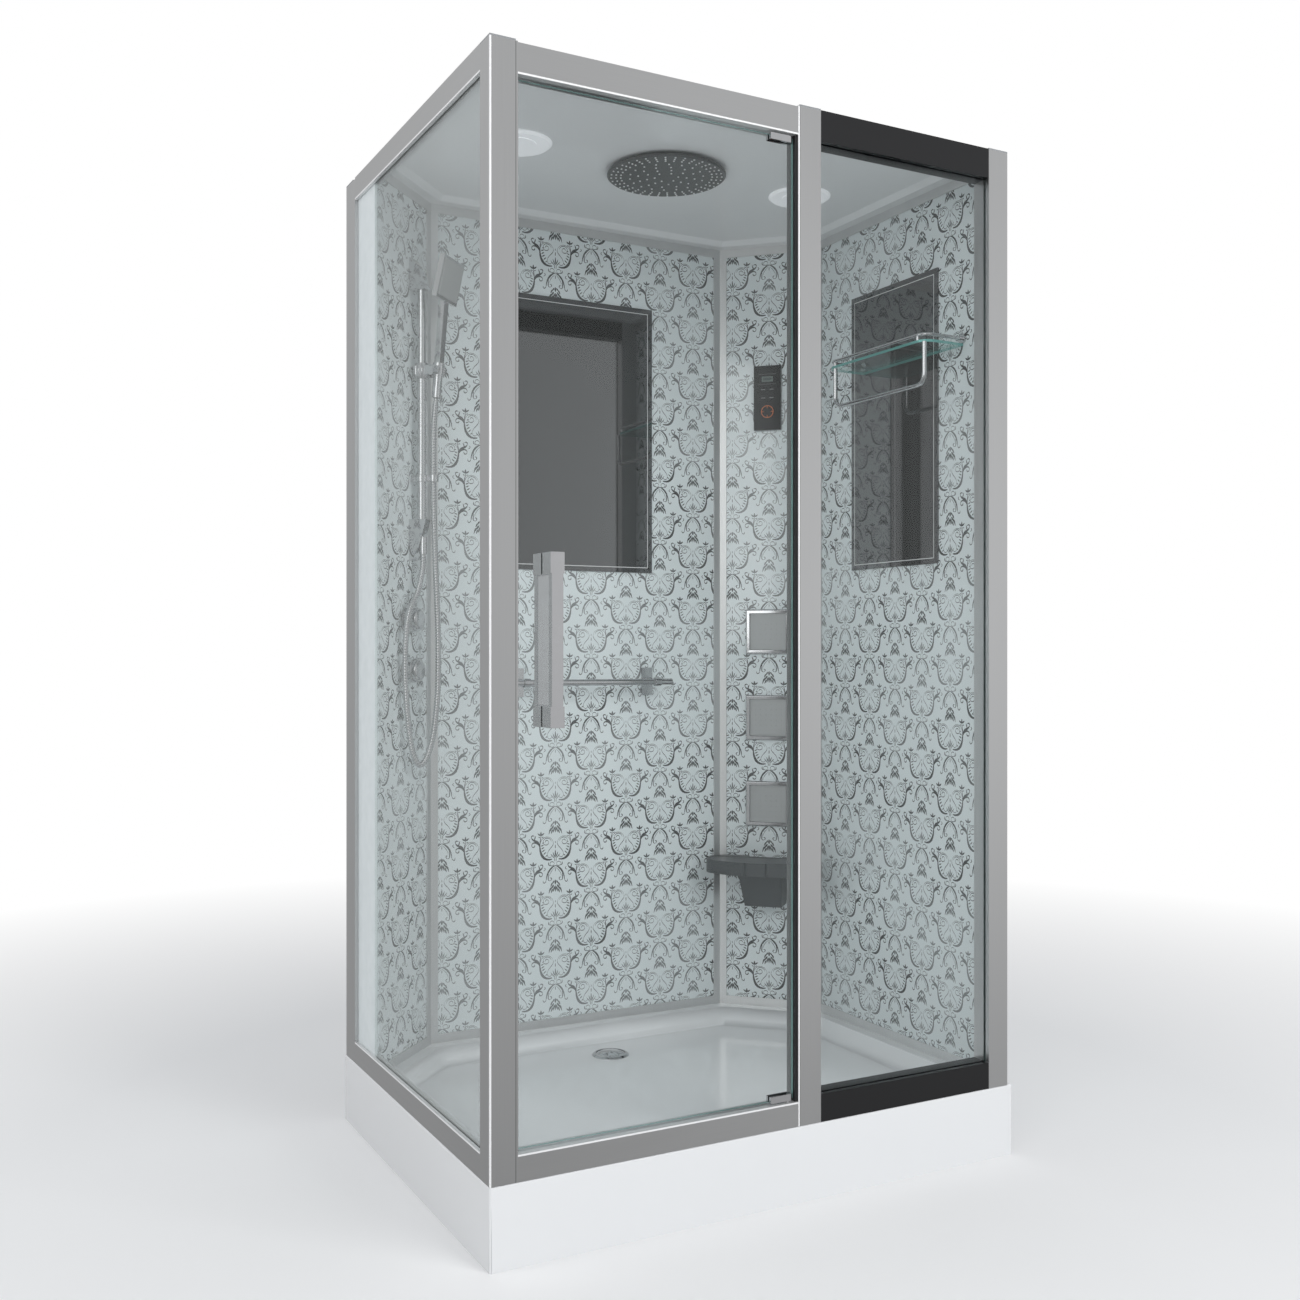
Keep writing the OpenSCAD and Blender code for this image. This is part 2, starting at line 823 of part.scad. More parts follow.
module right_panel() {
    color(wall_colour) wall_panel(room[2], [room_right, frame_back + seat_gap]);
}
// Angle profiles behind the corners and a channel at the front edge of the right panel
angle_w = 24;
angle_t = 2;
module rear_angle(a, p, b) {
    n1 = left_normal(a, p);
    n2 = left_normal(p, b);
    inner = p - wall_t * (n1 + n2) / (1 + n1 * n2);
    outer = p - (wall_t + angle_t) * (n1 + n2) / (1 + n1 * n2);
    e1 = p - wall_t * n1 - unit(p - a) * angle_w;
    e2 = p - wall_t * n2 + unit(b - p) * angle_w;
    translate([0, 0, tray_h]) linear_extrude(wall_h)
        polygon([e1, e1 - angle_t * n1, outer, e2 - angle_t * n2, e2, inner]);
}
module rear_profiles() {
    color("silver") {
        for (i = [2 : 4]) rear_angle(room[i - 1], room[i], room[i + 1]);
        translate([room_right + wall_t, frame_back + seat_gap, tray_h]) cube([angle_t, angle_w, wall_h]);
    }
}
// Trims: a band along the foot and the head of the walls and a pair of legs in each corner
module wall_band(d, z, h) {
    translate([0, 0, z]) linear_extrude(h) intersection() {
        difference() {
            polygon(room);
            polygon(inset(room, d));
        }
        difference() {
            translate([left_x + side_rail_d + seat_gap, frame_back + seat_gap])
                square([cabin_w, cabin_d]);
            translate([left_x, front_y]) square([cabin_w / 2, split_y - front_y]);
        }
    }
}
module corner_trim(a, p, b) {
    n1 = left_normal(a, p);
    n2 = left_normal(p, b);
    q = p + trim_t * (n1 + n2) / (1 + n1 * n2);
    e1 = p - unit(p - a) * corner_trim_w;
    e2 = p + unit(b - p) * corner_trim_w;
    translate([0, 0, tray_h + trim_h]) linear_extrude(wall_h - 2 * trim_h)
        polygon([p, e1, e1 + trim_t * n1, q, e2 + trim_t * n2, e2]);
}
module panel_trims() {
    color([0.5, 0.5, 0.5]) {
        wall_band(trim_t, tray_h, trim_h);
        wall_band(trim_t, wall_top - trim_h, trim_h);
        for (i = [2 : 4]) corner_trim(room[i - 1], room[i], room[i + 1]);
    }
}
module back_mirror() {
    color([0.35, 0.36, 0.37])
    on_back_wall() translate([-mirror_w / 2, -mirror_t, mirror_z]) cube([mirror_w, mirror_t, mirror_h]);
}
side_mirror_y = -67;
module side_mirror() {
    color([0.35, 0.36, 0.37])
    on_right_wall() translate([-side_mirror_y - side_mirror_w / 2, -mirror_t, mirror_z])
        cube([side_mirror_w, mirror_t, mirror_h]);
}

// Roof: a shallow moulded lid on the walls, with a rim, a sloped step and a flat ceiling
module roof_outline(d) {
    intersection() {
        polygon(inset(room, d));
        translate([left_x + side_rail_d + seat_gap + max(d, 0), frame_back + seat_gap + max(d, 0)])
            square([cabin_w, cabin_d]);
    }
}
module roof_dome(d, low, high, lean) {
    hull() {
        translate([0, 0, low]) linear_extrude(over) roof_outline(d);
        translate([0, 0, high - over]) linear_extrude(over) roof_outline(d + lean);
    }
}
module roof() {
    color("gainsboro")
    difference() {
        union() {
            translate([0, 0, wall_top]) linear_extrude(roof_t) roof_outline(-wall_t);
            roof_dome(roof_rim - roof_t, wall_top, ceiling_z + roof_t, roof_slope);
        }
        roof_dome(roof_rim, wall_top - over, ceiling_z, roof_slope);
        translate([0, 0, ceiling_z - over])
            cylinder(r = rain_pipe_r + seat_gap, h = roof_t + 2 * over, $fn = round_fn);
        for (s = [-1, 1]) translate([s * lamp_x, 0, ceiling_z - over])
            cylinder(r = lamp_can_r + seat_gap, h = roof_t + 2 * over, $fn = round_fn);
    }
}
rain_top = ceiling_z - rain_drop;
module rain_head() {
    color([0.3, 0.3, 0.31])
    translate([0, 0, rain_top - rain_t]) rotate_extrude($fn = 2 * round_fn) polygon([
        [0, 0], [rain_d / 2 - rain_edge, 0], [rain_d / 2, rain_lip], [rain_d / 2, rain_t * 0.5],
        [rain_d / 2 - rain_t, rain_t], [rain_neck_r, rain_t], [rain_neck_r, rain_t + rain_drop],
        [rain_pipe_r + run_gap, rain_t + rain_drop], [rain_pipe_r + run_gap, rain_t], [0, rain_t]]);
}
// Nozzles in rays: dense in the outer ring, sparse towards the middle
rain_rays = 36;
rain_rings_share = [[0.93, 1], [0.85, 1], [0.77, 1], [0.62, 2], [0.48, 3], [0.34, 4], [0.2, 6]];
module rain_nozzles() {
    color("white")
    for (ring = rain_rings_share, k = [0 : ring[1] : rain_rays - 1])
        rotate([0, 0, 360 * (k + (ring[1] - 1) / 2) / rain_rays])
            translate([ring[0] * rain_d / 2, 0, rain_top - rain_t - nozzle_l])
                cylinder(r = nozzle_r, h = nozzle_l, $fn = 16);
}
pipe_z = ceiling_z + 44;
elbow_r = rain_pipe_r + 2;
rain_pipe_y = wall_t + valve_d / 2;
module rain_pipe() {
    foot = left_corner_point(knob_x, rain_pipe_y);
    color("lightgray") {
        translate([0, 0, rain_top]) cylinder(r = rain_pipe_r, h = pipe_z - rain_top, $fn = round_fn);
        translate([0, 0, pipe_z]) rotate([0, 0, atan2(foot[1], foot[0])]) rod_x(pipe_r, norm(foot));
        translate([foot[0], foot[1], diverter_z + valve_r + seat_gap])
            cylinder(r = pipe_r, h = pipe_z - diverter_z - valve_r - seat_gap, $fn = round_fn);
        for (p = [[0, 0], foot]) translate([p[0], p[1], pipe_z]) sphere(r = elbow_r, $fn = round_fn);
    }
}
module lamp_rings() {
    color("white")
    for (s = [-1, 1]) translate([s * lamp_x, 0, ceiling_z])
        rotate_extrude($fn = 2 * round_fn) polygon([
            [lens_d / 2 + seat_gap, -lamp_ring_t * 0.6], [lamp_d / 2 - lamp_ring_t, -lamp_ring_t],
            [lamp_d / 2, -lamp_ring_t * 0.3], [lamp_d / 2, 0], [lamp_can_r, 0],
            [lamp_can_r, lamp_can_h], [0, lamp_can_h], [0, lamp_can_h - roof_t],
            [lamp_can_r - roof_t, lamp_can_h - roof_t], [lamp_can_r - roof_t, roof_t],
            [lens_d / 2 - roof_t, roof_t], [lens_d / 2 - roof_t, 0], [lens_d / 2 + seat_gap, 0]]);
}
module lamp_lenses() {
    color("whitesmoke")
    for (s = [-1, 1]) translate([s * lamp_x, 0, ceiling_z - lamp_ring_t * 0.9])
        cylinder(r = lens_d / 2, h = lamp_ring_t * 0.9, $fn = 2 * round_fn);
}

// Control panel on the right corner panel
module control_housing() {
    color([0.12, 0.12, 0.13])
    on_right_corner() translate([-panel_w / 2, -housing_t, panel_z - panel_h / 2])
        cube([panel_w, housing_t, panel_h]);
}
module control_glass() {
    color("black")
    on_right_corner() translate([-panel_w / 2, -housing_t - panel_glass_t, panel_z - panel_h / 2])
        cube([panel_w, panel_glass_t, panel_h]);
}

// Body jets: a square bezel, a recessed plate with a grid of nozzles, and the body behind the wall
jet_window = jet_size - 2 * jet_rim;
module at_jets() {
    on_right_corner() for (i = [0 : 2]) translate([0, 0, jet_z + i * jet_pitch]) children();
}
module jet_bezels() {
    color("silver")
    at_jets() difference() {
        hull() {
            translate([-jet_size / 2, -jet_t * 0.6, -jet_size / 2]) cube([jet_size, jet_t * 0.6, jet_size]);
            translate([jet_chamfer - jet_size / 2, -jet_t, jet_chamfer - jet_size / 2])
                cube([jet_size - 2 * jet_chamfer, jet_t, jet_size - 2 * jet_chamfer]);
        }
        translate([-jet_window / 2, -jet_t - over, -jet_window / 2])
            cube([jet_window, jet_t + 2 * over, jet_window]);
    }
}
module jet_plates() {
    side = jet_window - 2 * seat_gap;
    pitch = side / (jet_grid + 1);
    color([0.55, 0.55, 0.56])
    at_jets() {
        translate([-side / 2, -jet_plate_t - seat_gap, -side / 2]) cube([side, jet_plate_t, side]);
        for (i = [1 : jet_grid], k = [1 : jet_grid])
            translate([i * pitch - side / 2, -jet_plate_t - seat_gap - nozzle_l, k * pitch - side / 2])
                rod_y(nozzle_r, nozzle_l, 16);
    }
}
jet_pipe_y = 30;
module jet_pipework() {
    color("lightgray") {
        at_jets() rod_y(jet_body_r, jet_body_d);
        on_right_corner() translate([0, jet_pipe_y, jet_z])
            cylinder(r = pipe_r, h = 2 * jet_pitch, $fn = round_fn);
    }
}

// Folding seat on the right corner panel, hinged on a pin through a knuckle of its bracket
seat_low = seat_top - seat_t;
seat_pin_z = seat_top - seat_t / 2;
seat_side = sqrt(pow(seat_sweep_r - seat_round, 2) - pow(seat_w / 2 - seat_round, 2))
    + seat_reach - seat_sweep_r + seat_lap;
// Plan of the seat moved inwards by d: rear corners cut along the walls, straight sides, round
// front corners and one wide arc across the front that meets them smoothly
module seat_plan(d) {
    half = seat_w / 2 - d;
    rear = seat_rear_w / 2 - seat_t / 2 - d * sqrt(2);
    back = seat_pivot_s - seat_t / 2;
    side = back + half - rear;
    round_x = seat_w / 2 - seat_round;
    sweep_y = seat_sweep_r - seat_reach;
    spread = (seat_sweep_r + over) / (sweep_y + seat_side);
    polygon([[-rear, -back], [-half, -side], [-half, -seat_side], [half, -seat_side],
        [half, -side], [rear, -back]]);
    for (k = [-1, 1]) translate([k * round_x, -seat_side]) circle(seat_round - d, $fn = 2 * round_fn);
    translate([0, sweep_y]) intersection() {
        circle(seat_sweep_r - d, $fn = 8 * round_fn);
        polygon([[0, 0], [-spread * round_x, -seat_sweep_r - over], [spread * round_x, -seat_sweep_r - over]]);
    }
}
// A slab with a round hinge edge at the rear, a dished top inside a rim and seams at the front
module seat() {
    bore_l = knuckle_w + 2 * seat_boss;
    color([0.27, 0.28, 0.29])
    on_right_corner() difference() {
        intersection() {
            translate([0, 0, seat_low]) linear_extrude(seat_t) seat_plan(0);
            union() {
                translate([-seat_w / 2, -seat_reach - over, seat_low])
                    cube([seat_w, seat_reach + over - seat_pivot_s, seat_t]);
                translate([-seat_w / 2, -seat_pivot_s, seat_pin_z]) rod_x(seat_t / 2, seat_w);
            }
        }
        translate([0, 0, seat_top - seat_dish]) linear_extrude(seat_dish + over) intersection() {
            seat_plan(seat_rim);
            translate([-seat_w / 2, -seat_reach]) square([seat_w, seat_reach - knuckle_reach - seat_rim]);
        }
        translate([-knuckle_w / 2 - moving_gap, -knuckle_reach - moving_gap, seat_low - over])
            cube([knuckle_w + 2 * moving_gap, knuckle_reach + 2 * moving_gap, seat_t + 2 * over]);
        translate([-bore_l / 2, -seat_pivot_s, seat_pin_z]) rod_x(seat_pin_r + run_gap, bore_l);
        for (k = [-1, 1]) translate([k * seat_seam_x - seam_w / 2, -seat_reach - over, seat_low - over])
            cube([seam_w, seam_deep + over, seat_t + 2 * over]);
    }
}
module seat_bracket() {
    color([0.2, 0.2, 0.21])
    on_right_corner() difference() {
        union() {
            hull() {
                translate([-bracket_w / 2, -bracket_reach, seat_low - seat_gap - over])
                    cube([bracket_w, bracket_reach, over]);
                translate([-bracket_low_w / 2, -bracket_low_reach, seat_low - bracket_h])
                    cube([bracket_low_w, bracket_low_reach, over]);
            }
            translate([-knuckle_w / 2, -seat_pivot_s, seat_pin_z]) rod_x(knuckle_r, knuckle_w);
            translate([-knuckle_w / 2, -seat_pivot_s - knuckle_r, seat_low - over])
                cube([knuckle_w, seat_pivot_s + knuckle_r, seat_pin_z - seat_low + over]);
        }
        translate([-knuckle_w / 2 - over, -seat_pivot_s, seat_pin_z])
            rod_x(seat_pin_r, knuckle_w + 2 * over);
    }
}
module seat_pin() {
    color("silver")
    on_right_corner() translate([-knuckle_w / 2 - seat_boss + seat_gap, -seat_pivot_s, seat_pin_z])
        rod_x(seat_pin_r, knuckle_w + 2 * (seat_boss - seat_gap));
}

// Towel bar on the back wall
module towel_bar() {
    color("silver")
    on_back_wall() translate([-towel_bar_l / 2, -bar_stand, towel_bar_z]) rod_x(bar_r, towel_bar_l);
}
module towel_brackets() {
    color("silver")
    on_back_wall() for (s = [-1, 1]) translate([s * bar_bracket_x, 0, towel_bar_z]) difference() {
        union() {
            translate([-bar_plate[0] / 2, -bar_plate[1], -bar_plate[2] / 2]) cube(bar_plate);
            translate([0, -bar_stand, 0]) rod_y(bar_r, bar_stand - bar_plate[1]);
            translate([-bar_r, -bar_stand, 0]) rod_x(bar_r * 1.4, 2 * bar_r);
        }
        translate([-2 * bar_r, -bar_stand, 0]) rod_x(bar_r + run_gap, 4 * bar_r);
    }
}

// Shelf on the right wall: u runs to the front, the free edge is at -shelf_d
shelf_u0 = -shelf_front_y - shelf_l;
module shelf_outline(d, r) {
    w = shelf_l - 2 * d;
    translate([shelf_u0 + d, 0]) difference() {
        translate([0, -shelf_d + d]) square([w, shelf_d - d - mirror_t - seat_gap]);
        for (k = [0, 1]) translate([k * w, -shelf_d + d]) mirror([k, 0])
            difference() {
                translate([-over, -over]) square([r + over, r + over]);
                translate([r, r]) circle(r, $fn = round_fn);
            }
    }
}
module shelf_glass() {
    color([0.6, 0.8, 0.78, 0.5])
    on_right_wall() translate([0, 0, shelf_z - shelf_t / 2]) linear_extrude(shelf_t)
        shelf_outline(0, shelf_corner);
}
// A quarter bend of a rod, from the +x arm to the +y arm about the origin
module bend(bend_r, r) {
    rotate_extrude(angle = 90, $fn = round_fn) translate([bend_r, 0]) circle(r, $fn = small_fn);
}
// Guard rail above the shelf: two arms to the wall, a front run and the studs that carry the glass
module guard_rail() {
    z = shelf_z + guard_rise;
    edge = rod_r + rod_inset;
    u0 = shelf_u0 + edge;
    u1 = shelf_u0 + shelf_l - edge;
    v = -shelf_d + edge;
    r = shelf_corner - edge;
    translate([u0 + r, v, z]) rod_x(rod_r, u1 - u0 - 2 * r);
    for (k = [0, 1]) {
        u = k == 0 ? u0 : u1;
        wall_v = k == 0 ? -mirror_t : 0;
        translate([u, v + r, z]) rod_y(rod_r, -v - r + wall_v);
        translate([u, wall_v - flange_l, z]) rod_y(flange_r, flange_l);
        translate([k == 0 ? u + r : u - r, v + r, z]) mirror([k == 0 ? 0 : 1, 0, 0])
            rotate([0, 0, 180]) bend(r, rod_r);
    }
    for (u = [u0 + r, u1 - r]) translate([u, v, shelf_z + shelf_t / 2])
        cylinder(r = rod_r * 0.8, h = guard_rise - shelf_t / 2, $fn = small_fn);
}
module towel_hoop() {
    u0 = shelf_u0 + hoop_inset;
    u1 = shelf_u0 + shelf_l - hoop_r;
    v = -shelf_d + hoop_r;
    top = shelf_z - shelf_t / 2;
    low = shelf_z - hoop_drop;
    for (u = [u0, u1]) translate([u, v, low + hoop_bend])
        cylinder(r = hoop_r, h = top - low - hoop_bend, $fn = small_fn);
    translate([u0 + hoop_bend, v, low]) rod_x(hoop_r, u1 - u0 - 2 * hoop_bend, small_fn);
    translate([u0 + hoop_bend, v, low + hoop_bend]) rotate([90, 0, 0]) rotate([0, 0, 180])
        bend(hoop_bend, hoop_r);
    translate([u1 - hoop_bend, v, low + hoop_bend]) rotate([90, 0, 0]) rotate([0, 0, 270])
        bend(hoop_bend, hoop_r);
}
module shelf_rail() {
    color("silver") on_right_wall() {
        guard_rail();
        towel_hoop();
    }
}

// Riser rail and its fin brackets
module riser_rail() {
    color("silver")
    on_left_corner() translate([riser_x, -riser_s, riser_low])
        cylinder(r = riser_r, h = riser_high - riser_low, $fn = round_fn);
}
// Side view of a fin: flat at the rail end, then a parabola back to the wall
module fin(h) {
    translate([riser_x + fin_w / 2, 0, 0]) rotate([0, -90, 0]) linear_extrude(fin_w)
        polygon(concat([[0, 0]], [for (i = [0 : fin_steps])
            let (s = fin_reach * (1 - i / fin_steps)) [h * (1 - pow(s / fin_reach, 2)), -s]]));
}
module riser_brackets() {
    color("silver")
    on_left_corner() {
        difference() {
            translate([0, 0, riser_high - fin_deep]) fin(fin_top_h);
            translate([riser_x, -riser_s, riser_high - fin_deep - over])
                cylinder(r = riser_r + run_gap, h = fin_deep + over, $fn = round_fn);
        }
        difference() {
            union() {
                translate([0, 0, riser_low + fin_deep]) mirror([0, 0, 1]) fin(fin_low_h);
                translate([riser_x, -outlet_s, outlet_low])
                    cylinder(r = nipple_r, h = nipple_l, $fn = round_fn);
            }
            translate([riser_x, -riser_s, riser_low])
                cylinder(r = riser_r + run_gap, h = fin_deep + over, $fn = round_fn);
            translate([riser_x, -outlet_s, outlet_low - over])
                cylinder(r = hose_bore_r, h = nipple_l, $fn = round_fn);
        }
    }
}
module hose_guide() {
    color("silver")
    on_left_corner() translate([0, 0, guide_z - guide_h / 2]) difference() {
        union() {
            translate([riser_x, -riser_s, 0])
                cylinder(r = riser_r + guide_wall, h = guide_h, $fn = round_fn);
            translate([handset_x, -guide_s, 0])
                cylinder(r = guide_bore_r + guide_wall, h = guide_h, $fn = round_fn);
            translate([riser_x - guide_arm / 2, -riser_s, 0]) cube([guide_arm, riser_s, guide_h]);
            translate([handset_x - guide_arm / 2, -guide_s, 0])
                cube([guide_arm, guide_s - riser_s, guide_h]);
        }
        translate([riser_x, -riser_s, -over])
            cylinder(r = riser_r + run_gap, h = guide_h + 2 * over, $fn = round_fn);
        translate([handset_x, -guide_s, -over])
            cylinder(r = guide_bore_r, h = guide_h + 2 * over, $fn = round_fn);
    }
}

// Hose: a smooth curve through the route, resampled at even steps, with raised ribs and a bore
function curve_at(p, i, t) =
    let (a = p[max(i - 1, 0)], b = p[i], c = p[i + 1], d = p[min(i + 2, len(p) - 1)])
    b + 0.5 * t * ((c - a) + t * ((2 * a - 5 * b + 4 * c - d) + t * (3 * (b - c) + d - a)));
hose_curve = concat([for (i = [0 : len(hose_points) - 2], k = [0 : hose_fine - 1])
    curve_at(hose_points, i, k / hose_fine)], [hose_points[len(hose_points) - 1]]);
function lengths(p, i = 0, sum = 0, out = []) = i >= len(p) ? out
    : let (s = i == 0 ? 0 : sum + norm(p[i] - p[i - 1])) lengths(p, i + 1, s, concat(out, [s]));
hose_steps = lengths(hose_curve);
hose_l = hose_steps[len(hose_steps) - 1];
function column(p, k) = [for (i = [0 : len(p) - 1]) [hose_steps[i], p[i][k]]];
hose_table = [for (k = [0 : 2]) column(hose_curve, k)];
function hose_at(s) = [for (k = [0 : 2]) lookup(s, hose_table[k])];
hose_side = unit([43, 80, 0]);
function hose_ring(s, r) =
    let (t = unit(hose_at(min(s + hose_tangent, hose_l)) - hose_at(max(s - hose_tangent, 0))),
        e = unit(hose_side - (hose_side * t) * t), g = cross(t, e))
    [for (k = [0 : hose_sides - 1]) hose_at(s)
        + r * (cos(360 * k / hose_sides) * e + sin(360 * k / hose_sides) * g)];
module hose() {
    straight = 2 * hose_r;
    pitch = (hose_l - 2 * straight) / hose_ribs;
    outer = concat([hose_ring(0, hose_r - rib_rise)],
        [for (i = [0 : hose_ribs - 1], k = [0, 1])
            hose_ring(straight + (i + 0.25 + 0.5 * k) * pitch, k == 0 ? hose_r : hose_r - rib_rise)],
        [hose_ring(hose_l, hose_r - rib_rise)]);
    inner = [for (i = [0 : bore_rings]) hose_ring(hose_l * (1 - i / bore_rings), hose_bore_r)];
    rings = concat(outer, inner);
    n = len(rings);
    points = [for (r = rings) each r];
    function at(i, k) = (i % n) * hose_sides + k % hose_sides;
    faces = [for (i = [0 : n - 1], k = [0 : hose_sides - 1], f = [0, 1])
        f == 0 ? [at(i, k), at(i + 1, k), at(i, k + 1)] : [at(i, k + 1), at(i + 1, k), at(i + 1, k + 1)]];
    echo(hose_length = hose_l);
    color("silver") on_left_corner() polyhedron(points, faces);
}

// Grip of the slider: a barrel with upright lobes round the rail
module slider_grip() {
    intersection() {
        union() {
            cylinder(r = collar_core_r, h = collar_h, center = true, $fn = round_fn);
            for (i = [0 : collar_lobes - 1]) rotate([0, 0, 360 * i / collar_lobes])
                translate([collar_r - collar_lobe_r, 0, 0])
                    cylinder(r = collar_lobe_r, h = collar_h, center = true, $fn = small_fn);
        }
        rotate_extrude($fn = round_fn) intersection() {
            translate([collar_r - belly_r, 0]) circle(belly_r, $fn = 2 * round_fn);
            translate([0, -collar_h / 2]) square([collar_r, collar_h]);
        }
    }
}
// Slider with two cheeks that hold the tilting cup between stub pins
module slider() {
    cheek_x = cup_r + moving_gap;
    block_w = 2 * (cheek_x + cheek_t);
    color("silver")
    on_left_corner() translate([0, 0, slider_z]) difference() {
        union() {
            translate([riser_x, -riser_s, 0]) slider_grip();
            translate([handset_x - block_w / 2, -riser_s - block_d / 2, -block_h / 2])
                cube([block_w, block_d, block_h]);
            for (k = [0, 1]) translate([handset_x, 0, 0]) mirror([k, 0, 0]) {
                translate([cheek_x, -handset_s, -block_h / 2]) cube([cheek_t, handset_s - riser_s, block_h]);
                translate([cheek_x, -handset_s, 0]) rod_x(block_h / 2, cheek_t);
                translate([cheek_x - cup_pin_l, -handset_s, 0]) rod_x(cup_pin_r, cup_pin_l + cheek_t);
            }
        }
        translate([riser_x, -riser_s, -collar_h / 2 - over])
            cylinder(r = riser_r + run_gap, h = collar_h + 2 * over, $fn = round_fn);
    }
}
// The cup and the handset share one leaning axis through the tilt pivot
module on_handset_axis() {
    on_left_corner() translate([handset_x, -handset_s, slider_z]) rotate([handset_lean, 0, 0]) children();
}
module handset_holder() {
    color("silver")
    difference() {
        on_handset_axis() translate([0, 0, -cup_h / 2]) cylinder(r = cup_r, h = cup_h, $fn = round_fn);
        on_handset_axis() translate([0, 0, -cup_h / 2 - over])
            cylinder(r = grip_r + grip_gap, h = cup_h + 2 * over, $fn = round_fn);
        on_handset_axis() translate([-cup_slot / 2, -cup_r - over, -cup_h / 2 - over])
            cube([cup_slot, cup_r, cup_h + 2 * over]);
        on_left_corner() translate([handset_x - cup_r - over, -handset_s, slider_z])
            rod_x(cup_pin_r + run_gap, 2 * cup_r + 2 * over);
    }
}
module handset() {
    color("silver")
    on_handset_axis() difference() {
        union() {
            translate([0, 0, sleeve_low])
                cylinder(r = sleeve_r, h = -sleeve_low - cup_h / 2, $fn = round_fn);
            translate([0, 0, -cup_h / 2 - over]) cylinder(r = grip_r, h = cup_h + 2 * over, $fn = round_fn);
            translate([0, 0, cup_h / 2 + seat_gap])
                cylinder(r = cup_flange_r, h = cup_flange_t, $fn = round_fn);
            translate([-handle_size[0] / 2, -handle_size[1] / 2, cup_h / 2 + seat_gap])
                cube([handle_size[0], handle_size[1], head_up - cup_h / 2]);
            translate([0, -head_out, head_up]) rotate([head_tilt, 0, 0])
                translate([-head_w / 2, -head_t / 2, 0]) cube([head_w, head_t, head_h]);
        }
        translate([0, 0, sleeve_low - over])
            cylinder(r = sleeve_bore_r, h = hose_end - sleeve_low + over, $fn = round_fn);
    }
}
// Face of the handset: a plate with ribs across it
module handset_face() {
    plate_w = head_w - 2 * face_margin;
    plate_h = head_h - 2 * face_margin;
    pitch = plate_h / face_ribs;
    color([0.4, 0.4, 0.41])
    on_handset_axis() translate([0, -head_out, head_up]) rotate([head_tilt, 0, 0])
        translate([-plate_w / 2, -head_t / 2 - face_t, face_margin]) {
            cube([plate_w, face_t, plate_h]);
            for (i = [0 : face_ribs - 1]) translate([0, -face_rib, (i + 0.25) * pitch])
                cube([plate_w, face_rib + face_t / 2, pitch / 2]);
        }
}

// Mixer and diverter behind the left corner panel, with their round knobs inside
module valve_body() {
    color("goldenrod")
    on_left_corner() {
        for (z = [mixer_z, diverter_z]) translate([knob_x, 0, z]) {
            translate([0, wall_t, 0]) rod_y(valve_r, valve_d);
            translate([0, -stem_reach, 0]) rod_y(stem_r, stem_reach + wall_t);
            translate([0, -rosette_t, 0]) difference() {
                rod_y(rosette_r, rosette_t);
                translate([0, -over, 0]) rod_y(stem_r, rosette_t + 2 * over);
            }
        }
        translate([knob_x, wall_t + valve_d / 2, mixer_z])
            cylinder(r = body_pipe_r, h = diverter_z - mixer_z, $fn = round_fn);
        for (s = [-1, 1]) translate([knob_x + s * inlet_pitch / 2, wall_t + valve_d / 2, mixer_z]) {
            translate([0, 0, -valve_r]) cylinder(r = pipe_r, h = valve_r, $fn = round_fn);
            sphere(r = pipe_r, $fn = round_fn);
            translate([0, 0, -inlet_l - valve_r]) cylinder(r = inlet_r, h = inlet_l, $fn = round_fn);
        }
        translate([knob_x - inlet_pitch / 2, wall_t + valve_d / 2, mixer_z]) rod_x(pipe_r, inlet_pitch);
        translate([riser_x, wall_t + valve_d / 2, diverter_z])
            cylinder(r = pipe_r, h = riser_low - diverter_z, $fn = round_fn);
        translate([riser_x, 0, riser_low]) rod_y(pipe_r, wall_t + valve_d / 2);
    }
}
// A drum with a bead round it and a smaller front with a rounded edge, bored for the stem
module knob() {
    r = knob_d / 2 - bead_rise;
    l = knob_reach - rosette_t - seat_gap;
    drum = knob_drum - rosette_t - seat_gap;
    front_r = r - knob_step;
    translate([0, -rosette_t - seat_gap, 0]) rotate([90, 0, 0]) difference() {
        rotate_extrude($fn = 2 * round_fn) {
            polygon([[0, 0], [r, 0], [r, drum], [front_r, drum], [front_r, l - knob_edge],
                [front_r - knob_edge, l - knob_edge], [front_r - knob_edge, l], [0, l]]);
            translate([r + bead_rise - bead_r, drum]) circle(bead_r, $fn = small_fn);
            translate([front_r - knob_edge, l - knob_edge]) intersection() {
                circle(knob_edge, $fn = round_fn);
                square(knob_edge);
            }
        }
        translate([0, 0, -over])
            cylinder(r = stem_r + run_gap, h = stem_reach - rosette_t + over, $fn = round_fn);
    }
}
module mixer_knob() {
    color("silver") on_left_corner() translate([knob_x, 0, mixer_z]) knob();
}
module diverter_knob() {
    color("silver") on_left_corner() translate([knob_x, 0, diverter_z]) knob();
}

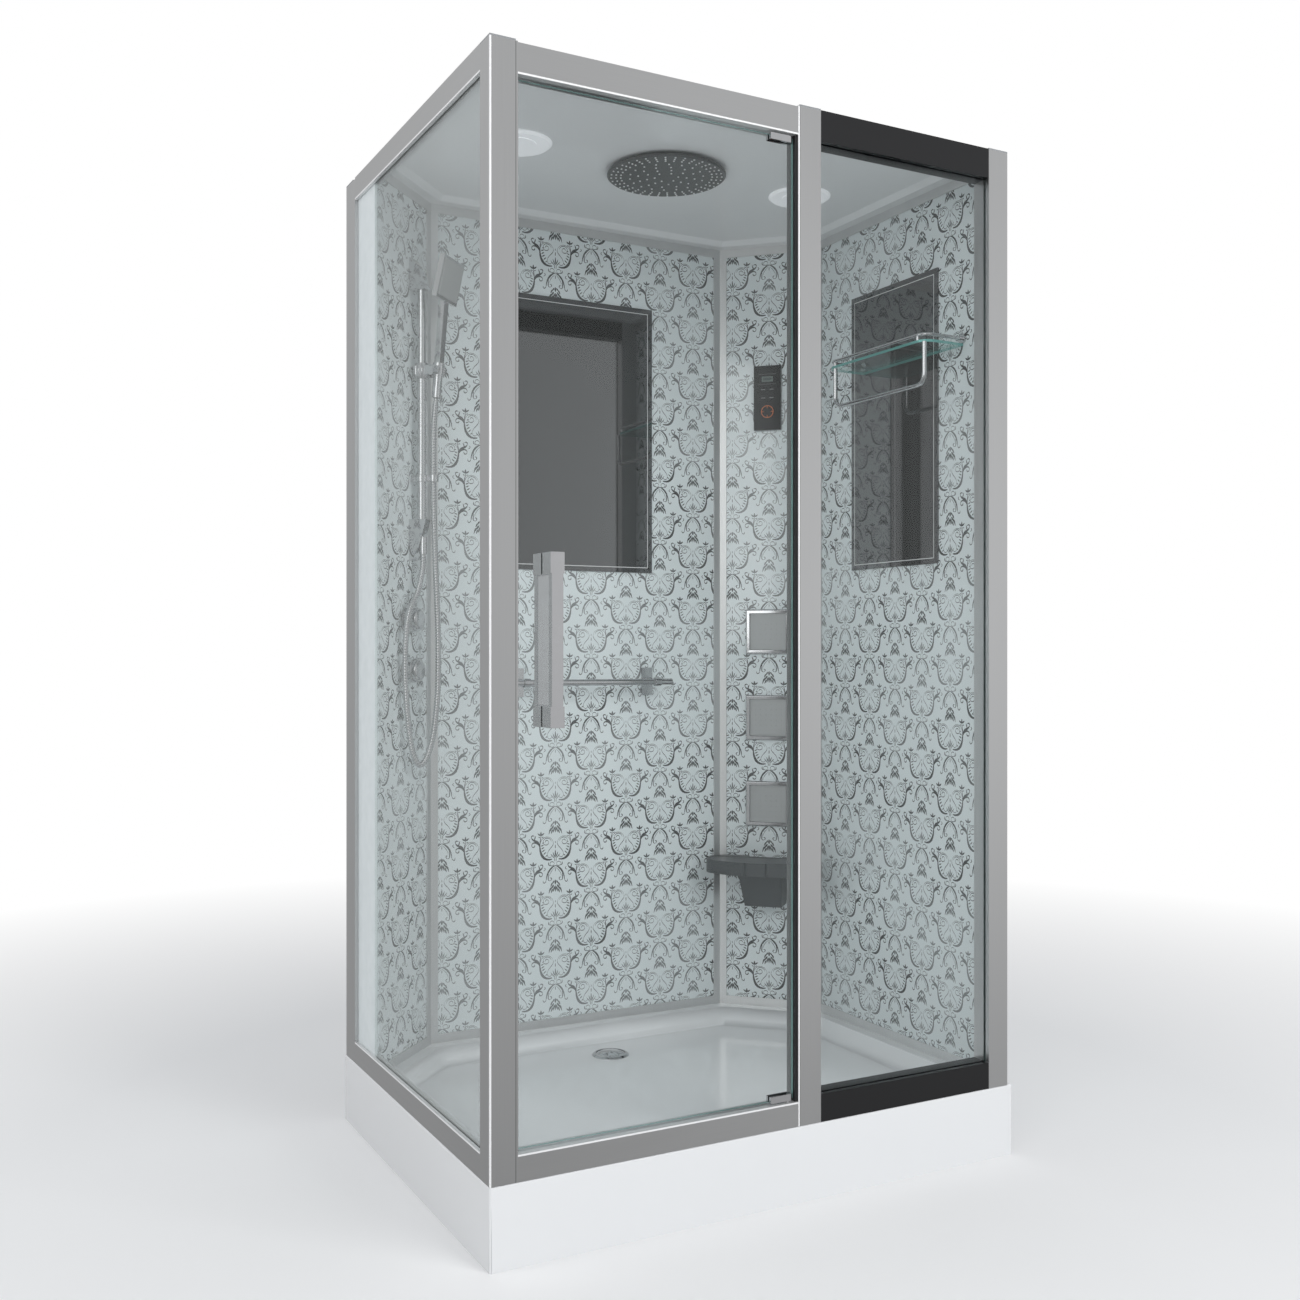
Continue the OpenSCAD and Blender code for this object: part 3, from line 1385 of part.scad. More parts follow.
// Door: one pane on pivot shoes, a handle on each face and clear seals
handle_low = handle_z - handle_h / 2;
module door_glass() {
    color([0.75, 0.85, 0.86, 0.35])
    difference() {
        translate([door_pane_left, pane_y, door_low])
            cube([door_pane_right - door_pane_left, glass_t, door_high - door_low]);
        for (z = [handle_low + handle_block / 2, handle_low + handle_h - handle_block / 2])
            translate([handle_x + handle_w / 2, pane_y - over, z])
                rod_y(handle_bolt_r + seat_gap, glass_t + 2 * over);
    }
}
module door_handle() {
    for (k = [0, 1]) translate([handle_x, pane_y - handle_reach, handle_low + k * (handle_h - handle_block)])
        difference() {
            cube([handle_w, handle_reach, handle_block]);
            translate([-over, -over, handle_block / 2 - handle_seam / 2])
                cube([handle_w + 2 * over, 2 * over, handle_seam]);
        }
    translate([handle_x + (handle_w - handle_bar_w) / 2, pane_y - handle_reach, handle_low + handle_block - over])
        cube([handle_bar_w, handle_bar_t, handle_h - 2 * handle_block + 2 * over]);
}
module pivot_shoe(z, up) {
    translate([pivot_x, pane_y + glass_t / 2, z]) mirror([0, 0, up ? 0 : 1]) difference() {
        union() {
            translate([-shoe_l, -shoe_t / 2, -shoe_lap]) cube([shoe_l, shoe_t, shoe_h]);
            translate([0, 0, -shoe_lap]) cylinder(r = shoe_t / 2, h = shoe_h, $fn = round_fn);
            translate([0, 0, -door_rise - pin_l + pin_root])
                cylinder(r = pivot_r, h = pin_l + door_rise, $fn = round_fn);
        }
        translate([-shoe_l - over, -glass_t / 2 - run_gap, 0])
            cube([shoe_l + 2 * shoe_t, glass_t + 2 * run_gap, shoe_h]);
    }
}
module door_fittings() {
    color("silver") {
        door_handle();
        translate([0, 2 * pane_y + glass_t, 0]) mirror([0, 1, 0]) door_handle();
        for (z = [handle_low + handle_block / 2, handle_low + handle_h - handle_block / 2])
            translate([handle_x + handle_w / 2, pane_y, z]) rod_y(handle_bolt_r, glass_t);
        pivot_shoe(door_low, true);
        pivot_shoe(door_high, false);
    }
    color([0.85, 0.9, 0.9, 0.6])
    translate([door_left + moving_gap, pane_y, door_low])
        cube([door_seal_w - moving_gap, glass_t, door_high - door_low]);
}

tray();
tray_frame();
tray_feet();
drain_flange();
drain_trap();
drain_cover();
front_left_post();
mid_post();
front_right_post();
rear_left_post();
post_caps();
door_top_rail();
door_bottom_rail();
fixed_top_rail();
fixed_bottom_rail();
left_top_rail();
left_bottom_rail();
left_glass();
frosted_panel();
fixed_glass();
post_seal();
back_panel();
left_corner_panel();
right_corner_panel();
right_panel();
rear_profiles();
panel_trims();
back_mirror();
side_mirror();
roof();
rain_head();
rain_nozzles();
rain_pipe();
lamp_rings();
lamp_lenses();
control_housing();
control_glass();
jet_bezels();
jet_plates();
jet_pipework();
seat_bracket();
seat_pin();
seat();
towel_bar();
towel_brackets();
shelf_glass();
shelf_rail();
riser_rail();
riser_brackets();
hose_guide();
hose();
slider();
handset_holder();
handset();
handset_face();
valve_body();
mixer_knob();
diverter_knob();
door_glass();
door_fittings();
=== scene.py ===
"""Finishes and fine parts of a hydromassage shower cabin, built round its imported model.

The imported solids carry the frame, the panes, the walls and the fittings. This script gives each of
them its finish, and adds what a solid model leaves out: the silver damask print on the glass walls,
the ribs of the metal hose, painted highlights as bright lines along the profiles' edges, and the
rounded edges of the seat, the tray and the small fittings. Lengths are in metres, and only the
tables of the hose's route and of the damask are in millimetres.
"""

import json
import math

import bmesh
import bpy
import numpy as np
from bpy.props import FloatProperty, FloatVectorProperty, IntProperty, PointerProperty
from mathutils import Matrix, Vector


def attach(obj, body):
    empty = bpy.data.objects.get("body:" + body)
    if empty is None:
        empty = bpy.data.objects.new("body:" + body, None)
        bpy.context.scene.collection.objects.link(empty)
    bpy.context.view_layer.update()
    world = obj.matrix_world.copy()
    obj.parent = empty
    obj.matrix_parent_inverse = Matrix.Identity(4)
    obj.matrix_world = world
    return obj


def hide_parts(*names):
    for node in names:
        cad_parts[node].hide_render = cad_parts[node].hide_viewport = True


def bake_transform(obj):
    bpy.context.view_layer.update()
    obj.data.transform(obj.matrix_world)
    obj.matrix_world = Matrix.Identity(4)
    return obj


bl_info = {
    "name": "Shower cabin finishes",
    "version": (1, 0, 0),
    "blender": (4, 5, 0),
    "location": "View3D > Sidebar > Shower cabin",
    "description": "Finishes and fine parts of a glazed shower cabin",
    "category": "Object",
}

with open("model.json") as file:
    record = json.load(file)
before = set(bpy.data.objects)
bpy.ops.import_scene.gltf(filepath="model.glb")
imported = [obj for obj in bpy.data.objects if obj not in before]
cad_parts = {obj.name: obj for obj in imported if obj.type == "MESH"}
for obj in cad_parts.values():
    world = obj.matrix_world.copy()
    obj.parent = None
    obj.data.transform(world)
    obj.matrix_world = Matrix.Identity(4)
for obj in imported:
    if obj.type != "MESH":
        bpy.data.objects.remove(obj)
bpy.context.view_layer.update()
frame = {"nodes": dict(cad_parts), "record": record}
MM = 0.001

# The inside outline of the cabin, as the solids have it
ROOM_LEFT, ROOM_RIGHT = -0.5867, 0.585
ROOM_BACK = 0.430
RIGHT_WALL_FRONT = -0.4037
CORNER_LEG = 0.185
DIAGONAL = math.sqrt(0.5)
LEFT_CORNER = np.array([ROOM_LEFT + CORNER_LEG / 2, ROOM_BACK - CORNER_LEG / 2])
RIGHT_CORNER = np.array([ROOM_RIGHT - CORNER_LEG / 2, ROOM_BACK - CORNER_LEG / 2])
# The tray's outer faces, to the sides, to the front and back, and on top
TRAY_SIDE, TRAY_END, TRAY_TOP = 0.600, 0.450, 0.150
# Heights of the glass walls' foot and head, and of the touch panel's middle
WALL_FOOT, WALL_HEAD = 0.150, 2.140
TOUCH_PANEL_HEIGHT = 1.742
# Heights of the rails' edges next to the panes, in the door bay and on the left side
DOOR_HEAD, DOOR_SILL = 2.090, 0.198
SIDE_HEAD, SIDE_SILL = 2.100, 0.197
# Across the front: the corner post's joint, and the middle post's painted highlight line and its
# joint
CORNER_POST_JOINT = -0.551
MID_POST_HIGHLIGHT, MID_POST_JOINT = 0.047, 0.0492
# Height and rise of both mirrors, and the middle and the width of each
MIRROR_HEIGHT, MIRROR_RISE = 1.619, 0.676
BACK_MIRROR, BACK_MIRROR_WIDTH = 0, 0.388
SIDE_MIRROR, SIDE_MIRROR_WIDTH = -0.067, 0.324
CHROME = (0.62, 0.62, 0.63)


# ---- Settings -----------------------------------------------------------------------------------


class CabinColours(bpy.types.PropertyGroup):
    """Colours of the finishes."""

    wall: FloatVectorProperty(
        name="Wall glass", description="Ground of the printed glass", subtype="COLOR",
        default=(0.78, 0.835, 0.845), min=0, max=1)
    silver: FloatVectorProperty(
        name="Print", description="Silver of the damask print", subtype="COLOR",
        default=(0.34, 0.355, 0.36), min=0, max=1)
    aluminium: FloatVectorProperty(
        name="Aluminium", description="Satin profiles", subtype="COLOR",
        default=(0.62, 0.62, 0.62), min=0, max=1)
    graphite: FloatVectorProperty(
        name="Dark aluminium", description="Rails of the fixed bay", subtype="COLOR",
        default=(0.060, 0.060, 0.062), min=0, max=1)
    trim: FloatVectorProperty(
        name="Wall trims", description="Grey trims of the walls", subtype="COLOR",
        default=(0.80, 0.80, 0.80), min=0, max=1)
    acrylic: FloatVectorProperty(
        name="Acrylic", description="Tray and roof", subtype="COLOR",
        default=(0.84, 0.85, 0.86), min=0, max=1)
    seat: FloatVectorProperty(
        name="Seat", description="Slate plastic of the seat", subtype="COLOR",
        default=(0.060, 0.068, 0.072), min=0, max=1)


class CabinSizes(bpy.types.PropertyGroup):
    """Sizes of the fine parts."""

    print_pitch: FloatProperty(
        name="Column spacing", description="Distance between the columns of the damask",
        default=0.0986, min=0.05, max=0.2, unit="LENGTH")
    print_rise: FloatProperty(
        name="Repeat height", description="Height after which the damask repeats",
        default=0.147, min=0.08, max=0.3, unit="LENGTH")
    hose_diameter: FloatProperty(
        name="Hose diameter", description="Outer diameter of the ribbed hose",
        default=0.014, min=0.01, max=0.02, unit="LENGTH")
    hose_ribs: IntProperty(
        name="Hose ribs", description="Number of ribs along the hose",
        default=214, min=100, max=300)
    # painted highlight: the width of the bright line painted along a profile's edge
    painted_highlight_width: FloatProperty(
        name="Bead width", description="Width of the bright edge line along a profile",
        default=0.0034, min=0.001, max=0.006, unit="LENGTH")


# ---- Shader maths -------------------------------------------------------------------------------


class Value:
    """A number in a material: a socket whose operators add Math nodes."""

    def __init__(self, finish, socket):
        self.finish, self.socket = finish, socket

    def math(self, operation, *values, clamp=False):
        """What that operation gives for the values in their order."""
        settings = {"operation": operation, "use_clamp": clamp}
        made = self.finish.node("Math", settings, dict(enumerate(values)))
        return Value(self.finish, made.outputs[0])

    def __add__(self, other):
        return self.math("ADD", self, other)

    def __sub__(self, other):
        return self.math("SUBTRACT", self, other)

    def __rsub__(self, other):
        return self.math("SUBTRACT", other, self)

    def __mul__(self, other):
        return self.math("MULTIPLY", self, other)

    def __pow__(self, other):
        return self.math("POWER", self, other)

    def __abs__(self):
        return self.math("ABSOLUTE", self)

    def root(self):
        """The square root."""
        return self.math("SQRT", self)

    def smaller(self, other):
        """The smaller of the two."""
        return self.math("MINIMUM", self, other)

    def larger(self, other):
        """The larger of the two."""
        return self.math("MAXIMUM", self, other)

    def step(self, edge, soft):
        """0 below the edge and 1 above it, with a straight ramp soft wide about the edge."""
        return self.math("MULTIPLY_ADD", self, 1 / soft, 0.5 - edge / soft, clamp=True)


class Finish:
    """One material with its Principled shader, and short ways to add nodes to it."""

    def __init__(self, name, **plain):
        self.material = bpy.data.materials.new(name)
        self.material.use_nodes = True
        self.tree = self.material.node_tree
        self.tree.nodes.clear()
        self.output = self.node("OutputMaterial")
        self.shader = self.node("BsdfPrincipled", {}, {
            key.replace("_", " "): value for key, value in plain.items()})
        self.tree.links.new(self.shader.outputs[0], self.output.inputs["Surface"])

    def node(self, kind, settings=None, values=None):
        """A node of that type: its settings first, then the values or links of its sockets."""
        made = self.tree.nodes.new("ShaderNode" + kind)
        for key, value in (settings or {}).items():
            setattr(made, key, value)
        for key, value in (values or {}).items():
            self.feed(made.inputs[key], value)
        return made

    def feed(self, socket, value):
        """Links a socket to a Value or an output, or sets it to a plain number or colour."""
        value = value.socket if isinstance(value, Value) else value
        if isinstance(value, bpy.types.NodeSocket):
            self.tree.links.new(value, socket)
        elif socket.type == "RGBA" and len(value) == 3:
            socket.default_value = (*value, 1)
        else:
            socket.default_value = value

    def set(self, **inputs):
        """Feeds sockets of the Principled shader, with spaces written as underscores."""
        for key, value in inputs.items():
            self.feed(self.shader.inputs[key.replace("_", " ")], value)
        return self

    def place(self):
        """Object coordinates as three numbers, in metres."""
        split = self.node("SeparateXYZ", {}, {0: self.coordinates()})
        return [Value(self, out) for out in split.outputs]

    def coordinates(self):
        """The Object coordinates, which move along with the piece."""
        return self.node("TexCoord").outputs["Object"]

    def noise(self, scale, stretch=(1, 1, 1), detail=2.0):
        """Noise of the Object coordinates times stretch: a small factor draws it out that way."""
        at = self.node("VectorMath", {"operation": "MULTIPLY"}, {
            0: self.coordinates(), 1: stretch})
        made = self.node("TexNoise", {}, {
            "Vector": at.outputs[0], "Scale": scale, "Detail": detail})
        return Value(self, made.outputs[0])

    def blend(self, share, low, high):
        """A colour between two colours: low (1 - share) + high share."""
        made = self.node("Mix", {"data_type": "RGBA"}, {0: share, 6: low, 7: high})
        return made.outputs[2]

    def most(self, values):
        """The largest of several numbers."""
        top = values[0]
        for value in values[1:]:
            top = top.larger(value)
        return top

    def bump(self, height, depth, strength):
        """Tilts the surface by the slope of height times depth, at that share of its strength."""
        made = self.node("Bump", {}, {"Height": height, "Distance": depth, "Strength": strength})
        self.feed(self.shader.inputs["Normal"], made.outputs[0])
        return self

    def see_through(self, base_share, tint, solid=0.0):
        """Lets light straight through, apart from a share that grows at grazing angles as it does
        on glass, facing^5 (1 - base_share) + base_share, and is never below solid."""
        facing = Value(self, self.node("LayerWeight", {}, {"Blend": 0.5}).outputs["Facing"])
        share = ((facing ** 5) * (1 - base_share) + base_share).larger(solid)
        clear = self.node("BsdfTransparent", {}, {0: tint})
        mix = self.node("MixShader", {}, {
            0: share, 1: clear.outputs[0], 2: self.shader.outputs[0]})
        self.tree.links.new(mix.outputs[0], self.output.inputs["Surface"])
        return self


# ---- Meshes -------------------------------------------------------------------------------------


def strip_faces(rows, columns, ring=False):
    """Quads of a grid of points stored row by row: the point in row r and column c has the number
    r * columns + c. ring joins each row's ends."""
    r = np.arange(rows - 1)[:, None]
    c = np.arange(columns if ring else columns - 1)[None, :]
    here, there = r * columns, (r + 1) * columns
    right = (c + 1) % columns
    return np.stack([here + c, here + right, there + right, there + c], -1).reshape(-1, 4)


def make_piece(name, points, faces, material, body, smooth=True):
    """A mesh piece at the origin that rides on a body. faces is one array, or a list of arrays of
    the points' numbers."""
    parts = faces if isinstance(faces, list) else [faces]
    faces = [tuple(face) for part in parts for face in part.tolist()]
    mesh = bpy.data.meshes.new(name)
    mesh.from_pydata(np.asarray(points, float), [], faces)
    mesh.validate()
    mesh.polygons.foreach_set("use_smooth", np.full(len(mesh.polygons), smooth))
    mesh.materials.append(material)
    made = bpy.data.objects.new(name, mesh)
    bpy.context.scene.collection.objects.link(made)
    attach(made, body)
    return made


def merge(parts):
    """Joins (points, faces) pairs into one, with the faces' numbers moved along."""
    points, faces, start = [], [], 0
    for p, f in parts:
        points.append(p)
        faces.append(f + start)
        start += len(p)
    return np.concatenate(points), np.concatenate(faces)


def catmull(points, fine):
    """A smooth curve through points: between two of them the cubic whose slope at each is half the
    way from the point before to the point after."""
    p = np.asarray(points, float)
    a = np.concatenate([p[:1], p[:-2]])
    b, c = p[:-1], p[1:]
    d = np.concatenate([p[2:], p[-1:]])
    t = (np.arange(fine) / fine)[None, :, None]
    a, b, c, d = (q[:, None, :] for q in (a, b, c, d))
    curve = b + 0.5 * t * ((c - a) + t * ((2 * a - 5 * b + 4 * c - d) + t * (3 * (b - c) + d - a)))
    return np.concatenate([curve.reshape(-1, p.shape[1]), p[-1:]])


def even(points, count):
    """The same curve at count points with equal distances along it, and its length, which is the
    sum of the distances between its points."""
    gone = np.concatenate([[0], np.cumsum(np.linalg.norm(np.diff(points, axis=0), axis=1))])
    at = np.linspace(0, gone[-1], count)
    curve = np.stack([np.interp(at, gone, points[:, k]) for k in range(points.shape[1])], 1)
    return curve, gone[-1]


def tube(path, radii, sides, side):
    """Rings of the given radii about a path: each ring stands square to the path's direction there,
    its first corner turned towards the direction side. A ring's points are the path's point plus
    the radius times (cos turn, sin turn) in the ring's plane."""
    ahead = np.gradient(path, axis=0)
    ahead /= np.linalg.norm(ahead, axis=1, keepdims=True)
    across = side - (ahead @ side)[:, None] * ahead
    across /= np.linalg.norm(across, axis=1, keepdims=True)
    other = np.cross(ahead, across)
    turn = np.linspace(0, 2 * np.pi, sides, endpoint=False)[None, :, None]
    ring = np.cos(turn) * across[:, None] + np.sin(turn) * other[:, None]
    points = path[:, None] + radii[:, None, None] * ring
    caps = [np.arange(sides)[None, ::-1], (len(path) - 1) * sides + np.arange(sides)[None]]
    return points.reshape(-1, 3), strip_faces(len(path), sides, ring=True), caps


def left_corner(x, out, z):
    """A point on the left corner panel: x along it to the right, out of it into the cabin, and z
    up. The panel stands at 45 degrees, so both count by the root of one half to each side."""
    x, out, z = np.broadcast_arrays(np.asarray(x, float), out, z)
    right, back = (x + out) * DIAGONAL, (x - out) * DIAGONAL
    return np.stack([LEFT_CORNER[0] + right, LEFT_CORNER[1] + back, z], -1)


def right_corner(x, out, z):
    """The same on the right corner panel."""
    x, out, z = np.broadcast_arrays(np.asarray(x, float), out, z)
    right, forward = (x - out) * DIAGONAL, (x + out) * DIAGONAL
    return np.stack([RIGHT_CORNER[0] + right, RIGHT_CORNER[1] - forward, z], -1)


def right_and_forward(x, y, middle):
    """How far a point lies from a middle point in the direction halfway between right and forward.
    This is along the right corner panel and out of the left one."""
    return ((x - middle[0]) - (y - middle[1])) * DIAGONAL


def mesh_arrays(mesh):
    """The points of a mesh, the two ends of each edge, and each edge's angle between its faces. The
    angle is the arc cosine of the product of the faces' unit normals, and 0 on an open edge."""
    points = np.empty(len(mesh.vertices) * 3)
    mesh.vertices.foreach_get("co", points)
    ends = np.empty(len(mesh.edges) * 2, int)
    mesh.edges.foreach_get("vertices", ends)
    loops = np.empty(len(mesh.loops), int)
    mesh.loops.foreach_get("edge_index", loops)
    normals = np.empty(len(mesh.polygons) * 3)
    mesh.polygons.foreach_get("normal", normals)
    totals = np.empty(len(mesh.polygons), int)
    mesh.polygons.foreach_get("loop_total", totals)
    owner = np.repeat(np.arange(len(totals)), totals)
    order = np.argsort(loops, kind="stable")
    number, first, count = np.unique(loops[order], return_index=True, return_counts=True)
    pair = count == 2
    a, b = owner[order[first[pair]]], owner[order[first[pair] + 1]]
    normals = normals.reshape(-1, 3)
    angle = np.zeros(len(mesh.edges))
    angle[number[pair]] = np.arccos(np.clip((normals[a] * normals[b]).sum(1), -1, 1))
    return points.reshape(-1, 3), ends.reshape(-1, 2), angle


def rounded(node, width, segments, chosen=None):
    """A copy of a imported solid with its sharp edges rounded, which stands for it. width is how far
    the rounding reaches from the edge on both faces. chosen says of the edges' middle points which
    of them are rounded."""
    weld = 1e-6
    flat, sharp, crease = (math.radians(angle) for angle in (0.6, 35, 40))
    mesh = frame["nodes"][node].data.copy()
    mesh.name = node + "_rounded"
    shape = bmesh.new()
    shape.from_mesh(mesh)
    bmesh.ops.remove_doubles(shape, verts=shape.verts, dist=weld)
    bmesh.ops.dissolve_limit(shape, angle_limit=flat, verts=shape.verts, edges=shape.edges)
    shape.to_mesh(mesh)
    shape.free()
    points, ends, angle = mesh_arrays(mesh)
    weight = (angle > sharp).astype(float)
    if chosen:
        weight *= chosen(*points[ends].mean(1).T)
    layer = mesh.attributes.new("bevel_weight_edge", "FLOAT", "EDGE")
    layer.data.foreach_set("value", weight)
    made = bpy.data.objects.new(node + "_rounded", mesh)
    bpy.context.scene.collection.objects.link(made)
    bevel = made.modifiers.new("edges", "BEVEL")
    bevel.limit_method, bevel.width, bevel.segments = "WEIGHT", width, segments
    bevel.miter_outer = "MITER_ARC"
    mesh.polygons.foreach_set("use_smooth", np.ones(len(mesh.polygons), bool))
    mesh.set_sharp_from_angle(angle=crease)
    normals = made.modifiers.new("normals", "WEIGHTED_NORMAL")
    normals.keep_sharp = True
    record = frame["record"]
    body = next(b for b, nodes in record["behaviour"]["bodies"].items() if node in nodes)
    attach(made, body)
    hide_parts(node)
    return made


# ---- Finishes -----------------------------------------------------------------------------------


def along(axis, fine, slow):
    """A stretch that is slow along one axis and fine across it."""
    return tuple(slow if k == axis else fine for k in range(3))


def brushed(name, colour, axis, roughness=0.30, spread=0.10, edges=(), width=0.0, grooves=()):
    """Satin anodised metal: fine streaks along an axis in its colour, roughness and relief. edges
    and grooves are (axis, place) pairs: the first are painted highlights, bright lines of that width
    painted along the edges, the second dark joints. An edge of two pairs is a line where both are
    met."""
    made = Finish(name, Metallic=1.0)
    place = made.place() if edges or grooves else None

    def near(pairs, reach, soft):
        """1 where the largest of the distances to the pairs' places is within reach."""
        pairs = [pairs] if isinstance(pairs[0], int) else pairs
        return 1 - made.most([abs(place[k] - at) for k, at in pairs]).step(reach, soft)

    joint, soft = 0.0006, 0.0007
    fine = made.noise(1.0, along(axis, 900, 5), 3.0)
    broad = made.noise(1.0, along(axis, 14, 1.5), 2.0)
    dark, light = [c * 0.90 for c in colour], [min(1, c * 1.08) for c in colour]
    shade = made.blend(fine * 0.5 + broad * 0.5, dark, light)
    if grooves:
        dips = made.most([near(pair, joint, joint) for pair in grooves])
        shade = made.blend(dips * 0.7, shade, (0.05, 0.05, 0.05))
    # painted highlight: a pale, nearly matt line along each edge, in place of the light the edge
    # catches
    if edges:
        bright = made.most([near(pair, width / 2, soft) for pair in edges])
        shade = made.blend(bright, shade, (0.90, 0.90, 0.90))
        made.set(Metallic=1 - bright * 0.9)
    made.set(Base_Color=shade, Roughness=fine * spread + broad * 0.06 + (roughness - spread / 2))
    return made.bump(fine, 0.00006, 0.35).material


def polished(name, colour=CHROME, roughness=0.06):
    """Chrome plate: nearly a mirror, with faint wipe marks in its colour and roughness, and a slow
    waviness in its relief."""
    made = Finish(name, Metallic=1.0)
    marks = made.noise(60, detail=4.0)
    dark = [c * 0.93 for c in colour]
    made.set(Base_Color=made.blend(marks, dark, colour),
             Roughness=marks * 0.10 + (roughness - 0.03))
    return made.bump(made.noise(25), 0.0001, 0.12).material


def valve_metal(name):
    """Cast brass behind the left corner panel and chrome plate in front of it, told apart by how
    far a point stands out from the panel."""
    made = Finish(name, Metallic=1.0)
    x, y, _ = made.place()
    plated = right_and_forward(x, y, LEFT_CORNER).step(0.0, 0.001)
    rough = made.noise(300, detail=3.0)
    made.set(Base_Color=made.blend(plated, (0.62, 0.45, 0.20), CHROME),
             Roughness=(1 - plated) * (rough * 0.15 + 0.22) + 0.08)
    return made.material


def moulded(name, colour, roughness, coat, grain=900, relief=0.00003, variation=0.06, glow=0.0):
    """Moulded plastic or acrylic: a fine grain, slow changes of shade and an optional gloss coat.
    glow is the faint light of a lamp's own cover."""
    made = Finish(name, Coat_Roughness=0.05, Emission_Color=(0.93, 0.95, 1.0),
                  Emission_Strength=glow)
    fine, slow = made.noise(grain, detail=2.0), made.noise(3.0, detail=3.0)
    dark = [c * (1 - variation) for c in colour]
    made.set(Base_Color=made.blend(slow * 0.7 + fine * 0.3, dark, colour),
             Roughness=fine * 0.10 + slow * 0.06 + (roughness - 0.08), Coat_Weight=coat)
    return made.bump(fine, relief, 0.4).material


def clear_glass(name, tint=(0.982, 0.990, 0.989), flat=None, edge=(0.30, 0.52, 0.49)):
    """Clear tempered glass: light goes straight through with a faint green tint, and the share
    that it reflects grows at grazing angles. flat is the axis that a flat sheet faces: where the
    surface faces another way, at its narrow edges, it is green and nearly solid."""
    face = (0.93, 0.97, 0.96)
    made = Finish(name, Base_Color=face, Metallic=1.0)
    made.set(Roughness=made.noise(8.0, detail=2.0) * 0.02 + 0.01)
    solid = 0.0
    if flat is not None:
        split = made.node("SeparateXYZ", {}, {0: made.node("TexCoord").outputs["Normal"]})
        solid = 1 - abs(Value(made, split.outputs[flat])).step(0.5, 0.2)
        made.set(Base_Color=made.blend(solid, face, edge), Metallic=1 - solid * 0.8)
    return made.see_through(0.028, tint, solid * 0.75).material


def frosted_glass(name):
    """Acid-etched glass: a pale cloudy body that lets a little light through."""
    made = Finish(name, IOR=1.5)
    cloud = made.noise(40, detail=4.0)
    made.set(Base_Color=made.blend(cloud, (0.72, 0.78, 0.79), (0.82, 0.87, 0.88)),
             Roughness=cloud * 0.15 + 0.30, Alpha=cloud * 0.04 + 0.90)
    return made.material


def wall_glass(name, colour):
    """Back-painted glass: a pale cool ground under a gloss surface, slightly uneven."""
    made = Finish(name, Coat_Roughness=0.02, IOR=1.5)
    slow = made.noise(2.2, detail=3.0)
    speck = made.noise(700, detail=1.0)
    dark = [c * 0.93 for c in colour]
    made.set(Base_Color=made.blend(slow * 0.8 + speck * 0.2, dark, colour),
             Roughness=slow * 0.05 + 0.05, Coat_Weight=0.4)
    return made.material


def silver_print(name, colour):
    """Mirror-silver print on the glass, with a painted reflection: its colour is painted dark or
    pale, as a mirror shows what it reflects, mostly in broad patches and a little in small ones."""
    made = Finish(name, Metallic=0.3)
    painted_reflection = made.noise(1.0, (3.2, 3.2, 4.2), 1.5).step(0.5, 0.16)
    slow = made.noise(26.0, detail=2.0).step(0.5, 0.5)
    dark = [c * 0.16 for c in colour]
    # painted reflection: the print's colour goes dark or pale in broad patches and small specks
    made.set(Base_Color=made.blend(painted_reflection * 0.8 + slow * 0.2, dark, colour),
             Roughness=slow * 0.10 + 0.16)
    return made.material


def mirror_glass(name, centre, axes, size):
    """Silvered glass with a fine bright line cut round it, where the distance to the nearest side
    is the inset. centre and size are measured along the two axes."""
    inset, half_line, soft = 0.013, 0.0009, 0.0006
    made = Finish(name, Metallic=1.0)
    place = made.place()
    ways = [size[k] / 2 - abs(place[axis] - centre[k]) for k, axis in enumerate(axes)]
    edge = ways[0].smaller(ways[1])
    line = 1 - abs(edge - inset).step(half_line, soft)
    haze = made.noise(5.0, detail=3.0)
    made.set(Base_Color=made.blend(line, (0.165, 0.165, 0.168), (0.80, 0.80, 0.80)),
             Metallic=1 - line * 0.8, Roughness=haze * 0.03 + line * 0.35 + 0.01)
    return made.material


